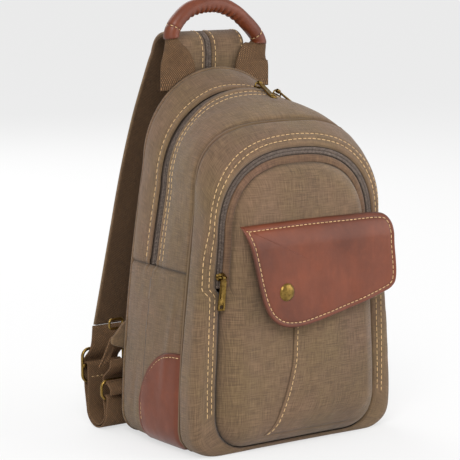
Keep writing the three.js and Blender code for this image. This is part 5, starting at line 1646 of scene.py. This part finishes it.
class SLINGBAG_OT_front_zip(BagOperator, bpy.types.Operator):
    """Build the front zip and the stitch rows beside it"""
    bl_idname, bl_label = "sling_bag.front_zip", "Front zip"

    def execute(self, context):
        build_front_zip()
        return {"FINISHED"}


class SLINGBAG_OT_pocket(BagOperator, bpy.types.Operator):
    """Build the slip pocket and its curved seam"""
    bl_idname, bl_label = "sling_bag.pocket", "Slip pocket"

    def execute(self, context):
        build_pocket()
        return {"FINISHED"}


class SLINGBAG_OT_flap(BagOperator, bpy.types.Operator):
    """Build the leather flap, its lining, stitches and snap"""
    bl_idname, bl_label = "sling_bag.flap", "Flap and snap"

    def execute(self, context):
        build_flap()
        build_snap()
        return {"FINISHED"}


class SLINGBAG_OT_corners(BagOperator, bpy.types.Operator):
    """Build the leather corner patches"""
    bl_idname, bl_label = "sling_bag.corners", "Leather corners"

    def execute(self, context):
        build_patches()
        return {"FINISHED"}


class SLINGBAG_OT_back(BagOperator, bpy.types.Operator):
    """Build the padded back and its bound seam"""
    bl_idname, bl_label = "sling_bag.back", "Padded back"

    def execute(self, context):
        build_back()
        return {"FINISHED"}


class SLINGBAG_OT_strap(BagOperator, bpy.types.Operator):
    """Build the strap with its lining and zip"""
    bl_idname, bl_label = "sling_bag.strap", "Strap"

    def execute(self, context):
        build_strap()
        return {"FINISHED"}


class SLINGBAG_OT_adjusters(BagOperator, bpy.types.Operator):
    """Build the adjuster webbing, slides, rings, tabs and ear"""
    bl_idname, bl_label = "sling_bag.adjusters", "Adjusters and rings"

    def execute(self, context):
        build_adjusters()
        build_ear()
        return {"FINISHED"}


class SLINGBAG_OT_handle(BagOperator, bpy.types.Operator):
    """Build the leather grip and its webbing legs"""
    bl_idname, bl_label = "sling_bag.handle", "Handle"

    def execute(self, context):
        build_handle()
        return {"FINISHED"}


class SLINGBAG_OT_hardware(BagOperator, bpy.types.Operator):
    """Build the zip sliders and their pulls"""
    bl_idname, bl_label = "sling_bag.hardware", "Zip sliders and pulls"

    def execute(self, context):
        build_hardware()
        return {"FINISHED"}


class SLINGBAG_OT_stage(BagOperator, bpy.types.Operator):
    """Make the floor, the lights and the camera"""
    bl_idname, bl_label = "sling_bag.stage", "Stage"

    def execute(self, context):
        build_stage(context.scene.sling_bag)
        return {"FINISHED"}


OPERATORS = (SLINGBAG_OT_finishes, SLINGBAG_OT_body, SLINGBAG_OT_main_zip, SLINGBAG_OT_front,
             SLINGBAG_OT_front_zip, SLINGBAG_OT_pocket, SLINGBAG_OT_flap, SLINGBAG_OT_corners, SLINGBAG_OT_back,
             SLINGBAG_OT_strap, SLINGBAG_OT_adjusters, SLINGBAG_OT_handle, SLINGBAG_OT_hardware,
             SLINGBAG_OT_stage)


class SLINGBAG_PT_panel(bpy.types.Panel):
    """Sidebar panel with the bag's colours and its building steps"""
    bl_idname, bl_label = "SLINGBAG_PT_panel", "Sling bag"
    bl_space_type, bl_region_type, bl_category = "VIEW_3D", "UI", "Sling bag"

    def draw(self, context):
        for name in SlingBagLook.__annotations__:
            self.layout.prop(context.scene.sling_bag, name)
        for operator in OPERATORS:
            self.layout.operator(operator.bl_idname)


CLASSES = (SlingBagLook, *OPERATORS, SLINGBAG_PT_panel)


def register():
    for cls in CLASSES:
        bpy.utils.register_class(cls)
    bpy.types.Scene.sling_bag = PointerProperty(type=SlingBagLook)


def unregister():
    del bpy.types.Scene.sling_bag
    for cls in reversed(CLASSES):
        bpy.utils.unregister_class(cls)


def main():
    register()
    for operator in OPERATORS:
        group, name = operator.bl_idname.split(".")
        getattr(getattr(bpy.ops, group), name)()


if __name__ == "__main__":
    main()
